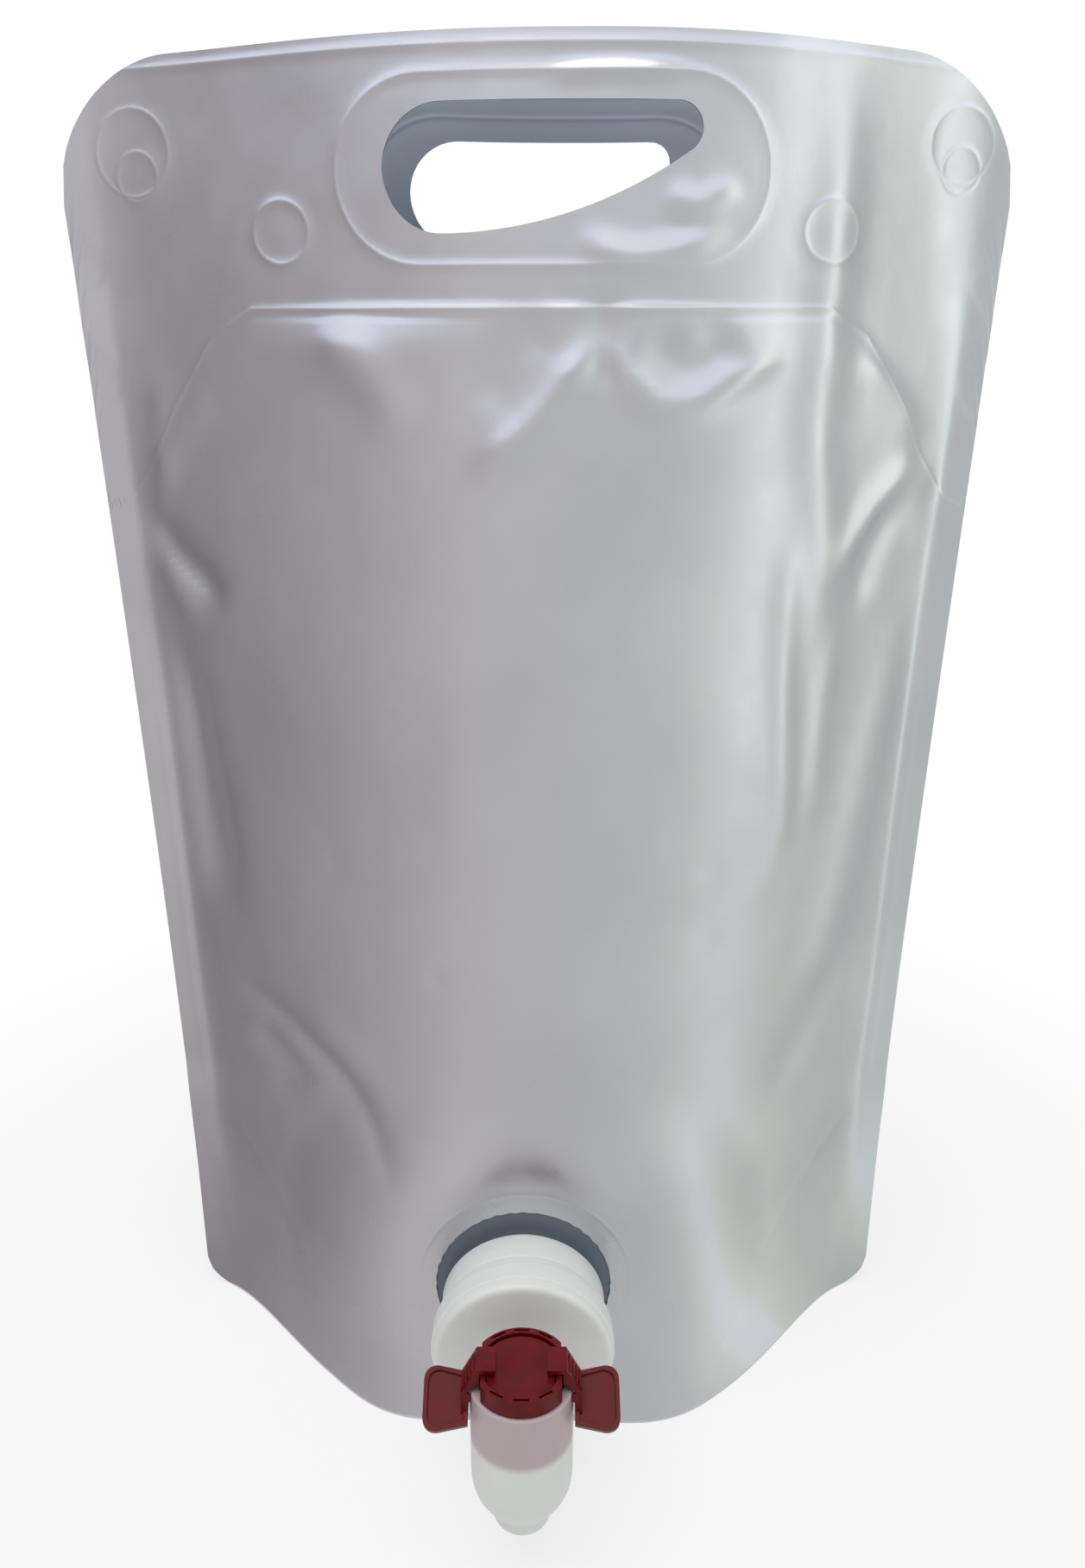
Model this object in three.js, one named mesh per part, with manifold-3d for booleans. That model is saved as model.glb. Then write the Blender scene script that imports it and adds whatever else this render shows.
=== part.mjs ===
// A stand-up drinks pouch of metallised film with a hand hole and a press tap.
// Millimetres, +Z up, origin on the floor under the middle of the foot. The tap faces -Y.
import * as THREE from "three";
import Module from "manifold-3d";
import { mergeVertices } from "three/addons/utils/BufferGeometryUtils.js";

const wasm = await Module();
wasm.setup();

// Pouch
const POUCH_HEIGHT = 325;
const FOOT_HALF_WIDTH = 98;
const HEADER_HALF_WIDTH = 106.5;
const FILM_WALL = 0.4;
const FIT_GAP = 0.3;
const TOP_CORNER_RADIUS = 29;
const FOOT_CORNER_RADIUS = 9;

// Plan section of one film at each height: half depth, the share of the half width that bulges,
// and the powers that round its middle and its foot.
const SECTIONS = [
  { z: 0, depth: 57, share: 1.0, crown: 3.0, edge: 2.15 },
  { z: 40, depth: 50, share: 0.94, crown: 2.6, edge: 1.6 },
  { z: 110, depth: 46.5, share: 0.93, crown: 2.2, edge: 1.25 },
  { z: 188, depth: 44, share: 0.93, crown: 2.12, edge: 1.2 },
  { z: 250, depth: 40.5, share: 0.92, crown: 2.06, edge: 1.15 },
  { z: POUCH_HEIGHT, depth: 35, share: 0.84, crown: 2.0, edge: 1.1 },
];

// Broad folds in the film, from one point to another, with their depth (inward) and half width
const FOLDS = [
  { from: [-84, 226], to: [-86, 140], depth: 2.6, half: 8 },
  { from: [-70, 96], to: [-40, 68], depth: 2.2, half: 8 },
  { from: [8, 266], to: [2, 236], depth: 1.8, half: 9 },
  { from: [84, 232], to: [72, 205], depth: 1.8, half: 8 },
  { from: [70, 100], to: [52, 60], depth: 1.6, half: 9 },
];

// The folds fade out where the films come this close together
const FOLD_FADE_REACH = 12;

// Foot gusset
const GUSSET_FOLD_HEIGHT = 64;
const GUSSET_SEAL_HEIGHT = 9.5;
const GUSSET_FLAT_HALF = 54;
const GUSSET_CLOSE_HALF = 94;
const GUSSET_SEAL_FLAT_HALF = 36;
const GUSSET_SEAL_RISE_POWER = 1.55;
const GUSSET_OPEN_BLEND = 14;
const GUSSET_RIM_GAP = 0.5;
const GUSSET_SAG_SHARE = 1 / 3;

// Hand hole: a big arc at the left, a small arc at the right, a straight top, a slanted lower edge
const HANDLE_DROP = 12.4;
const HANDLE_LEFT_X = -18.9;
const HANDLE_LEFT_RADIUS = 12;
const HANDLE_RIGHT_X = 27.6;
const HANDLE_RIGHT_RADIUS = 4.9;
const HANDLE_SLANT_X = 8;
const HANDLE_SLANT_ANGLE = 42;

// Tap place, and the flat pad of film round it
const TAP_X = -3.4;
const TAP_Z = 40;
const PAD_RADIUS = 33;
const PAD_BLEND = 15;
const TAP_HOLE_RADIUS = 22;

// Gland: a flange welded behind the film, and the neck that holds the tap
const FLANGE_RADIUS = 28;
const FLANGE_WALL = 1.6;
const NECK_RADIUS = 20.25;
const NECK_BORE_RADIUS = 17.2;
const NECK_REACH = 11;
const COLLAR_RADIUS = 21.3;
const COLLAR_START = 3.4;
const COLLAR_WIDTH = 4.8;
const COLLAR_BEVEL = 0.8;

// Tap body
const DISC_RADIUS = 22;
const DISC_WIDTH = 11.5;
const DISC_ROUND = 1.6;
const SPIGOT_WALL = 2;
const BRIDGE_RADIUS = 9;
const BRIDGE_BORE_RADIUS = 6;
const BARREL_OUT = 41;
const BARREL_RADIUS = 11.5;
const BARREL_TOP = 12;
const BARREL_WALL = 2;
const TAPER_TOP = -14;
const TAPER_MIDDLE = -19.5;
const TAPER_MIDDLE_RADIUS = 9.6;
const TAPER_FOOT = -23.6;
const NOZZLE_SHOULDER_RADIUS = 7.1;
const NOZZLE_RADIUS = 6.5;
const NOZZLE_FOOT = -27.3;
const NOZZLE_ROUND = 2;
const NOZZLE_WALL = 1.5;
const OUTLET_TOP_RADIUS = 8.9;
const LEDGE_TOP = 6.6;
const LEDGE_WALL = 1.5;
const LEDGE_BORE_RADIUS = 7.6;
const SEAT_TOP = -14.2;
const SEAT_WALL = 1.4;
const SEAT_BORE_RADIUS = 4;

// Cap ring on the barrel, and the press button in it
const CAP_RADIUS = 10.8;
const CAP_HALF_WIDTH = 8.85;
const CAP_HEIGHT = 4.4;
const CAP_LIP = 1.6;
const CAP_SIDE_LIP = 1.1;
const CAP_SLOT_DEPTH = 1;
const CAP_SLOT_WIDTH = 3.4;
const CAP_SLOT_THICKNESS = 0.6;
const CAP_SLOT_ANGLE = 32;
const BUTTON_GAP = 0.4;
const BUTTON_WALL = 2.2;
const BUTTON_DROP = 0.5;
const BUTTON_DISH_DEPTH = 1;
const BUTTON_DISH_RADIUS = 6.4;
const BUTTON_TRAVEL = 4;

// Plunger, seal and bellows inside the barrel
const STEM_RADIUS = 2.4;
const PLUNGER_LEDGE_GAP = 0.9;
const PLUNGER_SPARE_TRAVEL = 3.2;
const PLUNGER_WALL = 1.2;
const PLUNGER_WINDOW = 8;
const SEAL_RADIUS = 5.1;
const SEAL_WALL = 1.6;
const BELLOWS_WALL = 0.8;
const BELLOWS_FOLD = 2;

// Finger grip: hooks, arms, paddles and the clip ring behind the barrel
const HOOK_REACH = 5.6;
const HOOK_WALL = 1.2;
const ARM_WIDTH = 7;
const ARM_WALL = 1.5;
const ARM_FOOT = 5;
const CLIP_HEIGHT = 2.2;
const CLIP_WALL = 1.4;
const CLIP_OPEN_ANGLE = 70;
const PADDLE_HALF_SPAN = 21.75;
const PADDLE_LENGTH = 13.6;
const PADDLE_ROOT_LENGTH = 11;
const PADDLE_WALL = 1.3;
const PADDLE_RIM = 1;
const PADDLE_RIM_HEIGHT = 0.7;
const PADDLE_ROUND = 3.2;
const PADDLE_TILT = 30;
const PADDLE_Z = 6.4;

// Mesh fineness
const PANEL_COLUMNS = 34;
const FRONT_ROWS = 24;
const BACK_ROWS = 16;
const GUSSET_RIM_ROWS = 3;
const GUSSET_SHEET_ROWS = 6;
const ROUND_STEPS = 28;
const CURVE_STEPS = 12;

const film = (hex) => new THREE.MeshStandardMaterial({ color: hex, roughness: 0.38, metalness: 0.7 });
const FRONT_FILM = film("#b9b9c0");
const BACK_FILM = film("#b4b6bd");
const FOOT_FILM = film("#a9acb4");
const MILKY_PLASTIC = new THREE.MeshStandardMaterial({ color: "#e4e6e6", roughness: 0.4, metalness: 0 });
const RED_PLASTIC = new THREE.MeshStandardMaterial({ color: "#8c1220", roughness: 0.35, metalness: 0 });
const SEAL_RUBBER = new THREE.MeshStandardMaterial({ color: "#c9cccb", roughness: 0.6, metalness: 0 });

const clamp01 = (value) => Math.min(Math.max(value, 0), 1);
const smooth = (value) => clamp01(value) ** 2 * (3 - 2 * clamp01(value));
const radians = THREE.MathUtils.degToRad;

// Solids: closed meshes with merged corners, facing out
function toSolid(geometry) {
  const bare = geometry.index ? geometry.clone() : geometry;
  bare.deleteAttribute("normal");
  bare.deleteAttribute("uv");
  const merged = mergeVertices(bare, 1e-5);
  const position = merged.attributes.position;
  const corners = Array.from(merged.index.array);
  const kept = [];
  let volume = 0;
  const [a, b, c] = [new THREE.Vector3(), new THREE.Vector3(), new THREE.Vector3()];
  for (let k = 0; k < corners.length; k += 3) {
    const face = corners.slice(k, k + 3);
    if (new Set(face).size < 3) continue;
    kept.push(...face);
    a.fromBufferAttribute(position, face[0]);
    b.fromBufferAttribute(position, face[1]);
    c.fromBufferAttribute(position, face[2]);
    volume += a.dot(b.cross(c));
  }
  if (volume < 0) kept.reverse();
  return new wasm.Manifold(
    new wasm.Mesh({
      numProp: 3,
      vertProperties: new Float32Array(position.array),
      triVerts: new Uint32Array(kept),
    })
  );
}

function toMesh(name, solid, material) {
  const mesh = solid.getMesh();
  const geometry = new THREE.BufferGeometry();
  geometry.setAttribute("position", new THREE.BufferAttribute(mesh.vertProperties, 3));
  geometry.setIndex(new THREE.BufferAttribute(mesh.triVerts, 1));
  geometry.computeVertexNormals();
  const made = new THREE.Mesh(geometry, material);
  made.name = name;
  return made;
}

// A closed wall between two grids of points, inner and outer, each rows by columns
function wallSolid(inner, outer) {
  const rows = inner.length;
  const columns = inner[0].length;
  const points = [...inner.flat(), ...outer.flat()];
  const at = (layer, i, j) => layer * rows * columns + i * columns + j;
  const faces = [];
  const quad = (a, b, c, d) => faces.push(a, b, c, a, c, d);
  for (let i = 0; i < rows - 1; i++) {
    for (let j = 0; j < columns - 1; j++) {
      quad(at(0, i, j), at(0, i, j + 1), at(0, i + 1, j + 1), at(0, i + 1, j));
      quad(at(1, i, j), at(1, i + 1, j), at(1, i + 1, j + 1), at(1, i, j + 1));
    }
    quad(at(0, i, 0), at(0, i + 1, 0), at(1, i + 1, 0), at(1, i, 0));
    quad(at(0, i, columns - 1), at(1, i, columns - 1), at(1, i + 1, columns - 1), at(0, i + 1, columns - 1));
  }
  for (let j = 0; j < columns - 1; j++) {
    quad(at(0, 0, j), at(1, 0, j), at(1, 0, j + 1), at(0, 0, j + 1));
    quad(at(0, rows - 1, j), at(0, rows - 1, j + 1), at(1, rows - 1, j + 1), at(1, rows - 1, j));
  }
  const geometry = new THREE.BufferGeometry().setFromPoints(points);
  geometry.setIndex(faces);
  return toSolid(geometry);
}

// A solid turned about an upright axis from [radius, height] points
const turned = (profile) => {
  const points = profile.map(([radius, height]) => new THREE.Vector2(radius, height));
  const geometry = new THREE.LatheGeometry(points, ROUND_STEPS);
  geometry.rotateX(Math.PI / 2);
  return toSolid(geometry);
};

// The same, turned about the tap's own line and pointing out of the pouch, along -Y
const turnedOutward = (profile) => {
  const points = profile.map(([radius, out]) => new THREE.Vector2(radius, -out));
  return toSolid(new THREE.LatheGeometry(points, ROUND_STEPS));
};

// A plan shape carried upwards from one height to another
function upright(shape, from, to) {
  const geometry = new THREE.ExtrudeGeometry(shape, {
    depth: to - from,
    bevelEnabled: false,
    curveSegments: CURVE_STEPS,
  });
  geometry.translate(0, 0, from);
  return toSolid(geometry);
}

// A front-view shape (x, z) carried along Y from one place to another
function across(shape, from, to) {
  const geometry = new THREE.ExtrudeGeometry(shape, {
    depth: to - from,
    bevelEnabled: false,
    curveSegments: CURVE_STEPS,
  });
  geometry.rotateX(Math.PI / 2);
  geometry.translate(0, to, 0);
  return toSolid(geometry);
}

const disc = (radius, top, foot) => turned([[0, foot], [radius, foot], [radius, top], [0, top]]);

// Film surface
function sectionAt(z) {
  let k = 0;
  while (k < SECTIONS.length - 2 && z > SECTIONS[k + 1].z) k += 1;
  const low = SECTIONS[k];
  const high = SECTIONS[k + 1];
  const u = (z - low.z) / (high.z - low.z);
  const mix = (key) => low[key] + (high[key] - low[key]) * u;
  return { depth: mix("depth"), share: mix("share"), crown: mix("crown"), edge: mix("edge") };
}

const SIDE_LEAN_START = 40;
const SIDE_LEAN_POWER = 1.4;
function halfWidth(z) {
  const climb = clamp01((z - SIDE_LEAN_START) / (POUCH_HEIGHT - SIDE_LEAN_START));
  return FOOT_HALF_WIDTH + (HEADER_HALF_WIDTH - FOOT_HALF_WIDTH) * climb ** SIDE_LEAN_POWER;
}

function foldDepth(x, z) {
  let sum = 0;
  for (const { from, to, depth, half } of FOLDS) {
    const run = [to[0] - from[0], to[1] - from[1]];
    const along = ((x - from[0]) * run[0] + (z - from[1]) * run[1]) / (run[0] ** 2 + run[1] ** 2);
    const u = clamp01(along);
    const away = Math.hypot(x - from[0] - run[0] * u, z - from[1] - run[1] * u);
    sum += depth * Math.exp(-((away / half) ** 2));
  }
  return sum;
}

// Half the distance between the two films' inner faces, before the tap's pad is pressed flat
function freeReach(x, z) {
  const { depth, share, crown, edge } = sectionAt(z);
  const t = Math.min(Math.abs(x) / (halfWidth(z) * share), 1);
  const bulge = depth * (1 - t ** crown) ** edge;
  const room = 1 - smooth((z - GUSSET_FOLD_HEIGHT) / GUSSET_OPEN_BLEND);
  return bulge + FIT_GAP / 2 + (FILM_WALL + FIT_GAP) * room;
}

const PAD_REACH = freeReach(TAP_X, TAP_Z);

function reach(x, z, side) {
  const free = freeReach(x, z);
  if (side > 0) return free;
  const folded = free - foldDepth(x, z) * smooth((free - FIT_GAP) / FOLD_FADE_REACH);
  const away = Math.hypot(x - TAP_X, z - TAP_Z);
  return folded + (PAD_REACH - folded) * (1 - smooth((away - PAD_RADIUS) / PAD_BLEND));
}

// How much longer the wall is along Y than square to the film, from the film's slope
const SLOPE_STEP = 0.5;
function slant(x, z, side) {
  const alongX = (reach(x + SLOPE_STEP, z, side) - reach(x - SLOPE_STEP, z, side)) / (2 * SLOPE_STEP);
  const low = Math.max(z - SLOPE_STEP, 0);
  const alongZ = (reach(x, z + SLOPE_STEP, side) - reach(x, low, side)) / (z + SLOPE_STEP - low);
  return Math.hypot(1, alongX, alongZ);
}

// Columns run from seam to seam, closer together near the seams
const EDGE_CROWDING = 0.45;
const columnShare = (j) => {
  const u = (2 * j) / PANEL_COLUMNS - 1;
  return (1 - EDGE_CROWDING) * u + EDGE_CROWDING * Math.sin((u * Math.PI) / 2);
};

// How far a rounded corner draws the edge in, at a share of the half width
function cornerDrop(share, half, radius) {
  const past = Math.abs(share) * half - (half - radius);
  return past > 0 ? radius - Math.sqrt(Math.max(radius ** 2 - past ** 2, 0)) : 0;
}
const topAt = (share) => POUCH_HEIGHT - cornerDrop(share, HEADER_HALF_WIDTH, TOP_CORNER_RADIUS);
const footAt = (share) => cornerDrop(share, FOOT_HALF_WIDTH, FOOT_CORNER_RADIUS);

const ROW_POWER = 1.3;
function panelSolid(side, rows) {
  const inner = [];
  const outer = [];
  for (let i = 0; i <= rows; i++) {
    const rise = (i / rows) ** ROW_POWER;
    inner.push([]);
    outer.push([]);
    for (let j = 0; j <= PANEL_COLUMNS; j++) {
      const share = columnShare(j);
      const z = footAt(share) + (topAt(share) - footAt(share)) * rise;
      const x = share * halfWidth(z);
      const near = reach(x, z, side);
      const far = near + FILM_WALL * slant(x, z, side);
      inner[i].push(new THREE.Vector3(x, side * near, z));
      outer[i].push(new THREE.Vector3(x, side * far, z));
    }
  }
  return wallSolid(inner, outer);
}

function handleShape() {
  const top = POUCH_HEIGHT - HANDLE_DROP;
  const leftZ = top - HANDLE_LEFT_RADIUS;
  const rightZ = top - HANDLE_RIGHT_RADIUS;
  const turn = radians(-HANDLE_SLANT_ANGLE);
  const shape = new THREE.Shape();
  shape.moveTo(HANDLE_RIGHT_X, top);
  shape.lineTo(HANDLE_LEFT_X, top);
  shape.absarc(HANDLE_LEFT_X, leftZ, HANDLE_LEFT_RADIUS, Math.PI / 2, (3 * Math.PI) / 2, false);
  shape.quadraticCurveTo(
    HANDLE_SLANT_X,
    leftZ - HANDLE_LEFT_RADIUS,
    HANDLE_RIGHT_X + HANDLE_RIGHT_RADIUS * Math.cos(turn),
    rightZ + HANDLE_RIGHT_RADIUS * Math.sin(turn)
  );
  shape.absarc(HANDLE_RIGHT_X, rightZ, HANDLE_RIGHT_RADIUS, turn, Math.PI / 2, false);
  return shape;
}

const PAST = 90;
const handleCut = across(handleShape(), -PAST, PAST);
const circle = (radius, x = 0, y = 0) => new THREE.Shape().absarc(x, y, radius, 0, 2 * Math.PI, false);
const tapCut = across(circle(TAP_HOLE_RADIUS, TAP_X, TAP_Z), -PAST, 0);

// Foot gusset: a rim up each film, and a sheet between the rims that lies on the floor in the middle
function sealHeight(share) {
  const x = Math.abs(share) * FOOT_HALF_WIDTH;
  const climb = clamp01((x - GUSSET_SEAL_FLAT_HALF) / (GUSSET_CLOSE_HALF - GUSSET_SEAL_FLAT_HALF));
  const full = GUSSET_FOLD_HEIGHT - GUSSET_SEAL_HEIGHT - FILM_WALL;
  return GUSSET_SEAL_HEIGHT + full * climb ** GUSSET_SEAL_RISE_POWER;
}

function foldHeight(share) {
  const x = Math.abs(share) * FOOT_HALF_WIDTH;
  const climb = (x - GUSSET_FLAT_HALF) / (GUSSET_CLOSE_HALF - GUSSET_FLAT_HALF);
  return FILM_WALL / 2 + (GUSSET_FOLD_HEIGHT - FILM_WALL / 2) * smooth(climb);
}

// One column of the gusset's middle line, as [y, z] points from the front rim's foot to the back one's
function gussetColumn(share) {
  const seal = sealHeight(share);
  const middle = foldHeight(share);
  const foot = footAt(share);
  const column = [];
  const rimPoint = (side, v) => {
    const z = foot + (seal - foot) * v;
    const x = share * halfWidth(z);
    const inset = GUSSET_RIM_GAP + (FILM_WALL / 2) * slant(x, z, side);
    return [side * Math.max(reach(x, z, side) - inset, (FIT_GAP + FILM_WALL) / 2), z];
  };
  for (let k = 0; k <= GUSSET_RIM_ROWS; k++) column.push(rimPoint(-1, k / GUSSET_RIM_ROWS));
  const front = rimPoint(-1, 1);
  const back = rimPoint(1, 1);
  for (let k = 1; k < GUSSET_SHEET_ROWS; k++) {
    const u = k / GUSSET_SHEET_ROWS;
    const sag = smooth(Math.min(u, 1 - u) / GUSSET_SAG_SHARE);
    column.push([front[0] + (back[0] - front[0]) * u, seal + (middle - seal) * sag]);
  }
  for (let k = GUSSET_RIM_ROWS; k >= 0; k--) column.push(rimPoint(1, k / GUSSET_RIM_ROWS));
  return column;
}

function gussetSolid() {
  const columns = [];
  for (let j = 0; j <= PANEL_COLUMNS; j++) {
    const share = columnShare(j);
    columns.push(gussetColumn(share).map(([y, z]) => new THREE.Vector3(share * halfWidth(z), y, z)));
  }
  const rows = columns[0].length;
  const inner = [];
  const outer = [];
  for (let i = 0; i < rows; i++) {
    inner.push([]);
    outer.push([]);
    for (let j = 0; j < columns.length; j++) {
      const here = columns[j][i];
      const along = columns[j][Math.min(i + 1, rows - 1)].clone().sub(columns[j][Math.max(i - 1, 0)]);
      const next = columns[Math.min(j + 1, columns.length - 1)][i];
      const sideways = next.clone().sub(columns[Math.max(j - 1, 0)][i]);
      const normal = sideways.cross(along).normalize();
      if (i === 0 || i === rows - 1) normal.setX(0).setZ(0).normalize();
      if (Math.abs(here.z - FILM_WALL / 2) < FILM_WALL / 10) normal.set(0, 0, 1);
      const half = normal.multiplyScalar(FILM_WALL / 2);
      inner[i].push(here.clone().add(half));
      outer[i].push(here.clone().sub(half));
    }
  }
  return wallSolid(inner, outer);
}

// Gland, in the tap's own frame: out of the pouch from the film's inner face
const NECK_START = -FIT_GAP - FLANGE_WALL;
const glandSolid = turnedOutward([
  [NECK_BORE_RADIUS, NECK_START],
  [FLANGE_RADIUS, NECK_START],
  [FLANGE_RADIUS, -FIT_GAP],
  [NECK_RADIUS, -FIT_GAP],
  [NECK_RADIUS, COLLAR_START],
  [COLLAR_RADIUS, COLLAR_START + COLLAR_BEVEL],
  [COLLAR_RADIUS, COLLAR_START + COLLAR_WIDTH - COLLAR_BEVEL],
  [NECK_RADIUS, COLLAR_START + COLLAR_WIDTH],
  [NECK_RADIUS, NECK_REACH],
  [NECK_BORE_RADIUS, NECK_REACH],
  [NECK_BORE_RADIUS, NECK_START],
]);

// Tap body: disc, spigot in the neck, bridge, barrel, taper and nozzle
const DISC_START = NECK_REACH + FIT_GAP;
const DISC_FACE = DISC_START + DISC_WIDTH;
const SPIGOT_RADIUS = NECK_BORE_RADIUS - FIT_GAP;
const CHAMBER_RADIUS = BARREL_RADIUS - BARREL_WALL;
const CHAMBER_FLOOR = SEAT_TOP;
const OUTLET_TOP = SEAT_TOP - SEAT_WALL;
const atBarrel = (solid) => solid.translate([0, -BARREL_OUT, 0]);

function tapBodySolid() {
  const head = turnedOutward([
    [0, NECK_START],
    [SPIGOT_RADIUS, NECK_START],
    [SPIGOT_RADIUS, DISC_START],
    [DISC_RADIUS - DISC_ROUND / 2, DISC_START],
    [DISC_RADIUS, DISC_START + DISC_ROUND / 2],
    [DISC_RADIUS, DISC_FACE - DISC_ROUND],
    [DISC_RADIUS - DISC_ROUND * (1 - Math.SQRT1_2), DISC_FACE - DISC_ROUND * (1 - Math.SQRT1_2)],
    [DISC_RADIUS - DISC_ROUND, DISC_FACE],
    [0, DISC_FACE],
  ]);
  const bridge = turnedOutward([
    [0, DISC_START],
    [BRIDGE_RADIUS, DISC_START],
    [BRIDGE_RADIUS, BARREL_OUT - BRIDGE_BORE_RADIUS],
    [0, BARREL_OUT - BRIDGE_BORE_RADIUS],
  ]);
  const barrel = atBarrel(
    turned([
      [0, BARREL_TOP],
      [BARREL_RADIUS, BARREL_TOP],
      [BARREL_RADIUS, TAPER_TOP],
      [TAPER_MIDDLE_RADIUS, TAPER_MIDDLE],
      [NOZZLE_SHOULDER_RADIUS, TAPER_FOOT],
      [NOZZLE_RADIUS, TAPER_FOOT],
      [NOZZLE_RADIUS, NOZZLE_FOOT + NOZZLE_ROUND],
      [NOZZLE_RADIUS - NOZZLE_ROUND / 2, NOZZLE_FOOT],
      [0, NOZZLE_FOOT],
    ])
  );
  const chamber = atBarrel(
    disc(CHAMBER_RADIUS, BARREL_TOP + PAST, LEDGE_TOP)
      .add(disc(LEDGE_BORE_RADIUS, LEDGE_TOP + 1, LEDGE_TOP - LEDGE_WALL - 1))
      .add(disc(CHAMBER_RADIUS, LEDGE_TOP - LEDGE_WALL, CHAMBER_FLOOR))
      .add(disc(SEAT_BORE_RADIUS, CHAMBER_FLOOR + 1, OUTLET_TOP - 1))
  );
  const outlet = atBarrel(
    turned([
      [0, OUTLET_TOP],
      [OUTLET_TOP_RADIUS, OUTLET_TOP],
      [TAPER_MIDDLE_RADIUS - NOZZLE_WALL, TAPER_MIDDLE],
      [NOZZLE_RADIUS - NOZZLE_WALL, TAPER_FOOT],
      [NOZZLE_RADIUS - NOZZLE_WALL, NOZZLE_FOOT - 1],
      [0, NOZZLE_FOOT - 1],
    ])
  );
  const spigotBore = turnedOutward([
    [0, NECK_START - 1],
    [SPIGOT_RADIUS - SPIGOT_WALL, NECK_START - 1],
    [SPIGOT_RADIUS - SPIGOT_WALL, DISC_FACE - SPIGOT_WALL],
    [0, DISC_FACE - SPIGOT_WALL],
  ]);
  const bridgeBore = turnedOutward([
    [0, DISC_FACE - SPIGOT_WALL - 1],
    [BRIDGE_BORE_RADIUS, DISC_FACE - SPIGOT_WALL - 1],
    [BRIDGE_BORE_RADIUS, BARREL_OUT],
    [0, BARREL_OUT],
  ]);
  return head
    .add(bridge)
    .add(barrel)
    .subtract(spigotBore)
    .subtract(bridgeBore)
    .subtract(chamber)
    .subtract(outlet);
}

// A round plate with two straight sides, as a plan shape round the barrel's axis
function flattenedCircle(radius, halfWide) {
  const corner = Math.acos(halfWide / radius);
  const shape = new THREE.Shape();
  shape.absarc(0, 0, radius, corner, Math.PI - corner, false);
  shape.absarc(0, 0, radius, Math.PI + corner, 2 * Math.PI - corner, false);
  return shape;
}

const CAP_FOOT = BARREL_TOP + FIT_GAP;
const CAP_TOP = CAP_FOOT + CAP_HEIGHT;

function capRingSolid() {
  let ring = upright(flattenedCircle(CAP_RADIUS, CAP_HALF_WIDTH), CAP_FOOT, CAP_TOP).subtract(
    upright(flattenedCircle(CAP_RADIUS - CAP_LIP, CAP_HALF_WIDTH - CAP_SIDE_LIP), CAP_FOOT - 1, CAP_TOP + 1)
  );
  const middle = CAP_RADIUS - CAP_LIP / 2;
  for (const facing of [-90, 90]) {
    for (const turn of [-CAP_SLOT_ANGLE, 0, CAP_SLOT_ANGLE]) {
      const slot = new THREE.BoxGeometry(CAP_SLOT_THICKNESS, CAP_SLOT_WIDTH, 2 * CAP_SLOT_DEPTH);
      slot.translate(middle, 0, CAP_TOP);
      slot.rotateZ(radians(facing + turn));
      ring = ring.subtract(toSolid(slot));
    }
  }
  return atBarrel(ring);
}

const BUTTON_TOP = CAP_TOP - BUTTON_DROP;
const BUTTON_FOOT = BUTTON_TOP - BUTTON_WALL;

function buttonSolid() {
  const rim = CAP_RADIUS - CAP_LIP - BUTTON_GAP;
  const plate = upright(flattenedCircle(rim, CAP_HALF_WIDTH - CAP_SIDE_LIP - BUTTON_GAP), BUTTON_FOOT, BUTTON_TOP);
  const dish = turned([
    [0, BUTTON_TOP - BUTTON_DISH_DEPTH],
    [BUTTON_DISH_RADIUS * 0.6, BUTTON_TOP - BUTTON_DISH_DEPTH * 0.7],
    [BUTTON_DISH_RADIUS, BUTTON_TOP],
    [BUTTON_DISH_RADIUS, BUTTON_TOP + 1],
    [0, BUTTON_TOP + 1],
  ]);
  return atBarrel(plate.subtract(dish));
}

// Plunger: a stem from the button to the seal, with a windowed skirt in the chamber
const SKIRT_RADIUS = CHAMBER_RADIUS - FIT_GAP;
const PLUNGER_TOP = LEDGE_TOP - LEDGE_WALL - PLUNGER_LEDGE_GAP;
const PLUNGER_FOOT = CHAMBER_FLOOR + BUTTON_TRAVEL + PLUNGER_SPARE_TRAVEL;
const SEAL_TOP = OUTLET_TOP - FIT_GAP;

function plungerSolid() {
  const skirt = disc(SKIRT_RADIUS, PLUNGER_TOP, PLUNGER_FOOT).subtract(
    disc(SKIRT_RADIUS - PLUNGER_WALL, PLUNGER_TOP - PLUNGER_WALL, PLUNGER_FOOT - 1)
  );
  const window = new THREE.BoxGeometry(PLUNGER_WINDOW, 4 * SKIRT_RADIUS, PLUNGER_WINDOW);
  window.translate(0, 0, PLUNGER_FOOT + PLUNGER_WALL + PLUNGER_WINDOW / 2);
  const stem = disc(STEM_RADIUS, BUTTON_FOOT - FIT_GAP, SEAL_TOP);
  return atBarrel(skirt.subtract(toSolid(window)).add(stem));
}

const sealSolid = atBarrel(
  turned([
    [0, SEAL_TOP - FIT_GAP],
    [SEAL_RADIUS - SEAL_WALL / 3, SEAL_TOP - FIT_GAP],
    [SEAL_RADIUS, SEAL_TOP - FIT_GAP - SEAL_WALL / 3],
    [SEAL_RADIUS - SEAL_WALL / 2, SEAL_TOP - FIT_GAP - SEAL_WALL],
    [0, SEAL_TOP - FIT_GAP - SEAL_WALL],
  ])
);

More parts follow.
